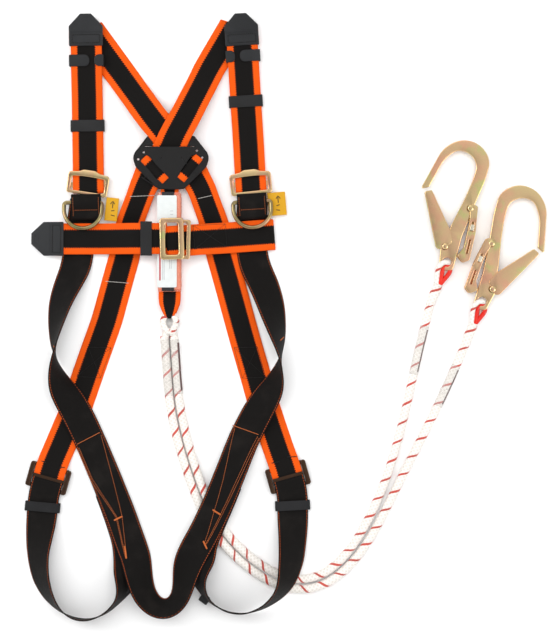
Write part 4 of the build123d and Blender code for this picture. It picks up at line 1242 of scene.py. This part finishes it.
# snap hooks: a forged body with a gate and a lever of two cheeks and a spine each
hookLook = {
    "gate": [(13, -17.5, 6), (29, 2.5, 7), (46, -3.5, 8), (99, -40.5, 1.5), (95.5, -50.5, 3)],
    "gateSpine": [(70, -21, 0.8), (94, -36.5, 0.8), (92.5, -39.5, 0.8), (68.5, -24.5, 0.8)],
    "gateCuts": [],
    "lever": [
        (90, 18, 5), (88, 29.5, 5), (48, 33, 40), (8, 31, 4), (3, 22, 4), (12, 12.5, 3), (24, 20, 8), (60, 22, 30),
    ],
    "leverSpine": [
        (72, 29.6, 0.6), (72, 27.4, 0.6), (40, 29.4, 0.6), (12, 28.4, 0.6), (12, 30.6, 0.6), (46, 32, 0.6),
    ],
    "leverCuts": [
        [(16, 23.6, 1.6), (38, 25.2, 1.6), (38, 28.2, 1.6), (16, 27, 1.6)],
        [(50, 24.2, 1.2), (64, 24.6, 1.2), (64, 29.4, 1.2), (50, 29.6, 1.2)],
    ],
    "cheek": 1.6, "gap": 0.4, "bottom": 6, "top": 14, "eye": 6.5,
    "body": [
        (-12.5, 0, 9), (-10.5, 10.5, 6), (40, 15, 90), (84, 24, 200), (125, 33.5, 120), (158, 37, 90), (179, 15, 90),
        (180, -12, 90), (163, -35, 90), (98, -57, 2), (103, -45, 2), (146, -30.5, 60), (164, -14, 60), (162, 5, 60),
        (148, 18, 60), (124, 16, 160), (92, 8, 200), (56, -3, 20), (46, -5, 8), (26, -14, 12), (-10.5, -10.5, 6),
    ],
    "gatePin": (22, -7), "leverPin": (83, 19.5), "pinHole": 3.2, "cheekHole": 3.15, "rivetEnds": (2.0, 18.0),
    "roller": [(51, 23.6, 1), (60, 24.0, 1), (60, 29.4, 1), (51, 29.6, 1)],
}
hookPlaces = {
    "inner": {"base": (407, 81, 79.8), "side": -1},
    "outer": {"base": (458, 24, 67.5), "side": 1},
}


def rivet(u, v, low, high, base, side):
    # shank and two domed heads
    rows = [
        (low - 1.3, 1.6), (low - 1.2, 2.8), (low - 0.6, 4.2), (low, 4.6), (low, 3.0),
        (high, 3.0), (high, 4.6), (high + 0.6, 4.2), (high + 1.2, 2.8), (high + 1.3, 1.6),
    ]
    vertices, count = [], 24
    for z, radius in rows:
        for x, y in ringOutline(u, v * side, radius, count):
            vertices.append(turned(base, x, y, z))
    return meshPiece("rivet", vertices, skin(len(rows), count), zinc)


for name, look in hookPlaces.items():
    flat = {"base": look["base"], "side": look["side"]}
    end = name.capitalize()
    cheek, gap = hookLook["cheek"], hookLook["gap"]
    gateLow, gateHigh = hookLook["bottom"] - gap - cheek, hookLook["top"] + gap + cheek
    leverLow, leverHigh = gateLow - gap - cheek, gateHigh + gap + cheek
    for part, low, high in (("gate", gateLow, gateHigh), ("lever", leverLow, leverHigh)):
        line = roundedOutline(hookLook[part], 8)
        hole = ringOutline(*hookLook[part + "Pin"], hookLook["cheekHole"])
        spine = roundedOutline(hookLook[part + "Spine"])
        cuts = [roundedOutline(cut) for cut in hookLook[part + "Cuts"]]
        plates = [
            platePiece(part, [line, hole], low, low + cheek, 0.5, zinc, **flat),
            platePiece(part, [line, hole, *cuts], high - cheek, high, 0.6, zinc, **flat),
            platePiece(part, [spine], low + 0.3, high - 0.3, 0.4, zinc, **flat),
        ]
        node = f"hook_{part}_{name}"
        settle(joined("hook" + part.capitalize() + end, plates), node, "yellow_zinc", node)
    pins = [hookLook["gatePin"], hookLook["leverPin"]]
    outlines = [roundedOutline(hookLook["body"], 12), ringOutline(0, 0, hookLook["eye"])]
    outlines += [ringOutline(*pin, hookLook["pinHole"]) for pin in pins]
    made = platePiece("hookBody" + end, outlines, hookLook["bottom"], hookLook["top"], 1.4, zinc, **flat)
    settle(made, "hook_" + name, "yellow_zinc", "hook_body_" + name)
    rivets = [rivet(*pin, *hookLook["rivetEnds"], **flat) for pin in pins]
    settle(joined("hookRivets" + end, rivets), "hook_" + name, "yellow_zinc", "hook_rivets_" + name)
    # steel roller behind the window of the lever
    roller = [roundedOutline(hookLook["roller"])]
    made = platePiece("hookRoller" + end, roller, gateHigh - 0.6, leverHigh + 0.5, 0.6, chrome, **flat)
    settle(made, "hook_lever_" + name)
print("hooks made")


# shock absorber: folded webbing in a pink film sleeve, a label, and a webbing loop at each end
absorber = {"x": 3, "low": 38, "long": 144, "width": 33, "bottom": 1.2, "top": 17.8}
paper = Finish("labelPaper", Specular_IOR_Level=0.4)
speck = paper.grain(120, 3)
paper.put("Base Color", paper.mix(speck, rgb(202, 208, 207), rgb(220, 224, 223)))
paper.put("Roughness", speck * 0.1 + 0.34)
printGrey = mouldedFinish("printGrey", rgb(150, 152, 156), rgb(176, 178, 182), 0.4, 600, 0.00001)
printRed = mouldedFinish("printRed", rgb(168, 60, 66), rgb(186, 84, 88), 0.4, 600, 0.00001)

labelMarks = (
    (-10.5, -36, 2.4, 40, printRed), (-6.5, -38, 0.8, 34, printGrey), (-4.4, -36, 0.8, 38, printGrey),
    (3.5, -24, 0.8, 30, printGrey), (5.8, -27, 0.8, 24, printGrey), (6.5, 40, 4.5, 0.8, printGrey),
    (6.5, 45, 4.5, 0.8, printGrey),
)

# the folded webbing shows as layers on the long sides
middleX, middleY, absorberTop = absorber["x"], absorber["low"] + absorber["long"] / 2, absorber["top"]
foldWide, foldLong = absorber["width"] - 1.2, absorber["long"] - 7
parts = []
for index, sway in enumerate((0.4, -0.3, 0.2, -0.4, 0.3, 0.0)):
    low = absorber["bottom"] + 0.3 + index * 2.6
    parts.append(
        blockPiece("fold", middleX + sway, middleY + sway, foldWide, foldLong, low, low + 2.3, 1.1, packCore)
    )
settle(joined("absorberPack", parts), "harness", "pack_core", "absorber_pack")
low, high = absorberTop + 0.75, absorberTop + 1.2
parts = [blockPiece("sheet", middleX - 3.4, middleY + 1, 28.5, 134, low, high, 2.5, paper.material)]
low, high = absorberTop + 1.05, absorberTop + 1.28
for shift, run, wide, tall, finish in labelMarks:
    parts.append(blockPiece("line", middleX - 3 + shift, middleY + run, wide, tall, low, high, 0.3, finish))
settle(joined("absorberLabel", parts))


def filmSleeve():
    # shrink film: a rounded tube, puckered a little and gathered at its ends
    half, low, high = absorber["width"] / 2 + 1.1, absorber["bottom"] - 0.9, absorber["top"] + 0.9
    outline = boxOutline(-half, low, half, high, 5, 5)
    rows, vertices = 48, []
    centre = (low + high) / 2
    for row in range(rows + 1):
        y = absorber["low"] + absorber["long"] * row / rows
        pinch = 1 - 0.05 * max(0, 1 - min(row, rows - row) / 3)
        for x, z in outline:
            pucker = noise.noise(Vector((x / 9, y / 14, z / 9))) * 0.35
            scale = pinch * (1 + pucker / half)
            vertices.append((middleX + x * scale, y, max(0.1, centre + (z - centre) * scale)))
    return meshPiece("absorberSleeve", vertices, skin(rows + 1, len(outline), capped=False), pinkFilm)


settle(filmSleeve(), "harness", "clear_sleeve", "absorber_sleeve")
for name, at in (("Top", absorber["low"] + absorber["long"] - 2), ("Bottom", absorber["low"] + 3.5)):
    low, high = absorberTop - 0.2, absorberTop + 1.3
    settle(blockPiece("absorberBand" + name, middleX - 2, at, 18, 5.5, low, high, 0.8, capPlastic))
loopLine = [
    (52, 8.6, 32), (40, 9, 32), (30, 13, 32), (20, 16.4, 30), (10, 17, 22), (3, 16.2, 15), (0, 13.2, 12),
    (-0.6, 9.5, 11), (0, 5.4, 12), (3, 2.4, 15), (10, 1.2, 22), (20, 1.2, 30), (30, 4, 32), (40, 7, 32),
]
hangLine = [
    (176, 8.6, 26), (184, 5.6, 26), (189, 2.2, 26), (193, 1.2, 26), (197, 1.2, 26), (200.4, 3, 26), (201, 6.6, 26),
    (199.4, 10.2, 26), (196, 11.6, 26), (190, 11.6, 26), (184, 11, 26), (176, 10.6, 26),
]
for name, line, seed, waves in (("Loop", loopLine, 31, 0.2), ("Hanger", hangLine, 32, 0.1)):
    stations = [(middleX, y, lift, 0, 0, wide / webbing["width"]) for y, lift, wide in line]
    strap = Strap("absorber" + name, stations, 3, seed, waves, step=1.5)
    strap.stripe("absorber_" + name.lower())
print("absorber made")


# yellow tags sewn behind the rings, with a plain arrow and strokes: shift, tilt, length, thickness, aside
tagCard = mouldedFinish("tagCard", rgb(196, 142, 14), rgb(208, 158, 26), 0.5, 900, 0.00004)
tags = {
    "Left": {"at": (-81.5, 158), "turn": -6, "width": 18.5, "nodes": ["size_tags"]},
    "Right": {"at": (159.5, 166), "turn": 5, "width": 26, "nodes": []},
}
tagStrokes = (
    (9.6, 52, 5, 1.3, -1.6), (9.6, -52, 5, 1.3, 1.6), (5.5, 0, 1.3, 8, 0), (-2, 14, 5, 1.3, 0), (-9, -10, 6, 1.3, 0),
)
for side, look in tags.items():
    (x, y), turn = look["at"], look["turn"]
    parts = [blockPiece("card", x, y, look["width"], 34, 8.0, 9.0, 0.45, tagCard, turn)]
    for shift, tilt, long, wide, aside in tagStrokes:
        at = (x + 1.5 + aside, y + shift)
        parts.append(blockPiece("line", *at, long, wide, 8.8, 9.12, 0.3, keeperPlastic, turn + tilt))
    settle(joined("sizeTag" + side, parts), "harness", "tag", *look["nodes"])
print("tags made")


# sewing on the straps: lines are corners on the harness, low and high bound where along the strap
def sew(name, strap, lines, finish=orangeThread, pitch=2.6, gap=0.8, radius=0.4, low=0, high=1):
    thread = Thread()
    for line in lines:
        route = [strap.find(x, y, low, high) for x, y in line]
        thread.run(strap.top, route, pitch, gap, radius)
    thread.build(name, finish)


seatSewing = {
    "left": [[(-131.8, -185.3), (-99.7, -166.4)]],
    "leftWedge": [
        [(-129.5, -190), (-109.8, -236), (-74, -291), (-61, -349)],
        [(-132, -192), (-112, -238), (-75.6, -291), (-62, -349)],
        [(-98, -170), (-80, -236), (-66.5, -291), (-60, -349)],
    ],
    "right": [[(95.4, -154.8), (132, -171.7)]],
    "rightWedge": [
        [(98.6, -160), (81, -236), (68.6, -279), (53, -330)], [(131, -174), (100.6, -236), (80.4, -279), (55, -330)],
        [(133, -177), (103, -238), (82.6, -280), (56.4, -330)],
    ],
    "tacks": [
        [(-78, -295), (-66.6, -290)], [(66.6, -279), (77, -286)], [(-62.6, -333), (-60.6, -350)],
        [(52.4, -325), (57, -336)],
    ],
    "sides": [[(-172.6, -40), (-162, -45)], [(159.6, -34), (174, -26)]],
}
for name in ("left", "right"):
    sew("seatThread" + name.capitalize(), seat, seatSewing[name], radius=0.55, pitch=2.2)
    sew("wedgeThread" + name.capitalize(), seat, seatSewing[name + "Wedge"], low=0.2, high=0.8, radius=0.34)
sew("seatTacks", seat, seatSewing["tacks"], pitch=1.6, gap=0.1, radius=1.2, low=0.2, high=0.8)
sew("sideThread", seat, seatSewing["sides"], radius=0.5)
backMarks = {
    "Left": [[(152, -214), (163, -210.6)], [(175, -202.6), (188, -201)]],
    "Right": [[(-183.6, -208), (-177.6, -211)], [(-157, -218.6), (-150.4, -220)]],
}
for side, lines in backMarks.items():
    sew("markThread" + side, straps["back" + side], lines, darkThread, pitch=1.6, gap=0.2, radius=0.6, low=0.6)
greyLines = {
    "Right": [[(-56, 183), (-15.4, 168.6)], [(-91, 58), (-57.5, 46)]],
    "Left": [[(44.4, 170), (65, 183)]],
}
for side, lines in greyLines.items():
    sew("greyThread" + side, straps["back" + side], lines, greyThread, pitch=5, gap=0.1, radius=0.45, low=0.3)


def boxStitch(centre, turn, width, tall):
    # square of thread with a cross in it
    halves = ((-width / 2, -tall / 2), (width / 2, -tall / 2), (width / 2, tall / 2), (-width / 2, tall / 2))
    corners = [turned((*centre, turn), x, y)[:2] for x, y in halves]
    return [[*corners, corners[0]], [corners[0], corners[2]], [corners[1], corners[3]]]


boxes = {
    "chestRight": ((62, 118.2), 4.2, 46, 34),
    "backLeft": ((120, -66), 16, 34, 46),
    "backRight": ((-108, -66), -20, 34, 46),
}
for key, place in boxes.items():
    low = 0.05 if key == "chestRight" else 0.4
    sew(key + "Box", straps[key], boxStitch(*place), darkThread, pitch=2.4, radius=0.32, low=low)
webSewing = [[(-18.6, -19), (-18.6, -46)], [(18.6, -19), (18.6, -46)], [(-17, -37), (17, -37)]]
for side, look in shoulders.items():
    lines = [[turned(look["base"], look["webShift"] + x, y)[:2] for x, y in line] for line in webSewing]
    sew("webThread" + side, straps["web" + side], lines, low=0.16, high=0.62, gap=1.5, radius=0.34)

# small slides where the leg loops come up to the seat strap
legSlides = {
    "Left": {"at": (-57.6, -392), "turn": 68, "size": (17, 6)},
    "Right": {"at": (53.6, -410), "turn": -36, "size": (14, 11)},
}
for side, look in legSlides.items():
    settle(blockPiece("legSlide" + side, *look["at"], *look["size"], 1.0, 15.0, 1.6, keeperPlastic, look["turn"]))
print("sewing done")


# pale floor under everything
floorPaper = Finish("floorPaper", Roughness=0.9, Specular_IOR_Level=0.1)
floorPaper.put("Base Color", floorPaper.mix(floorPaper.grain(300, 3), light["floor"], (0.97, 0.97, 0.97, 1)))
floorHalf = 6000
corners = [(x * floorHalf, y * floorHalf, 0) for x, y in ((-1, -1), (1, -1), (1, 1), (-1, 1))]
meshPiece("floor", corners, [(0, 1, 2, 3)], floorPaper.material)

# even white light; polished parts see a dim ceiling between two soft bright panels
studio = Sky("studio")
x, y, z = studio.split(studio.place())
panels = (x * 4.2 + y * 2.6 + 0.6).sin() * 0.5 + 0.5
ceiling = z.ramp(0.8, 0.98)
mirrored = panels * 0.75 + (1 - ceiling) * 0.55 + 0.12
glossy = studio.node("ShaderNodeLightPath", output=3)
studio.put("Color", (1, 1, 1, 1))
studio.put("Strength", glossy * mirrored + (1 - glossy) * light["world"])
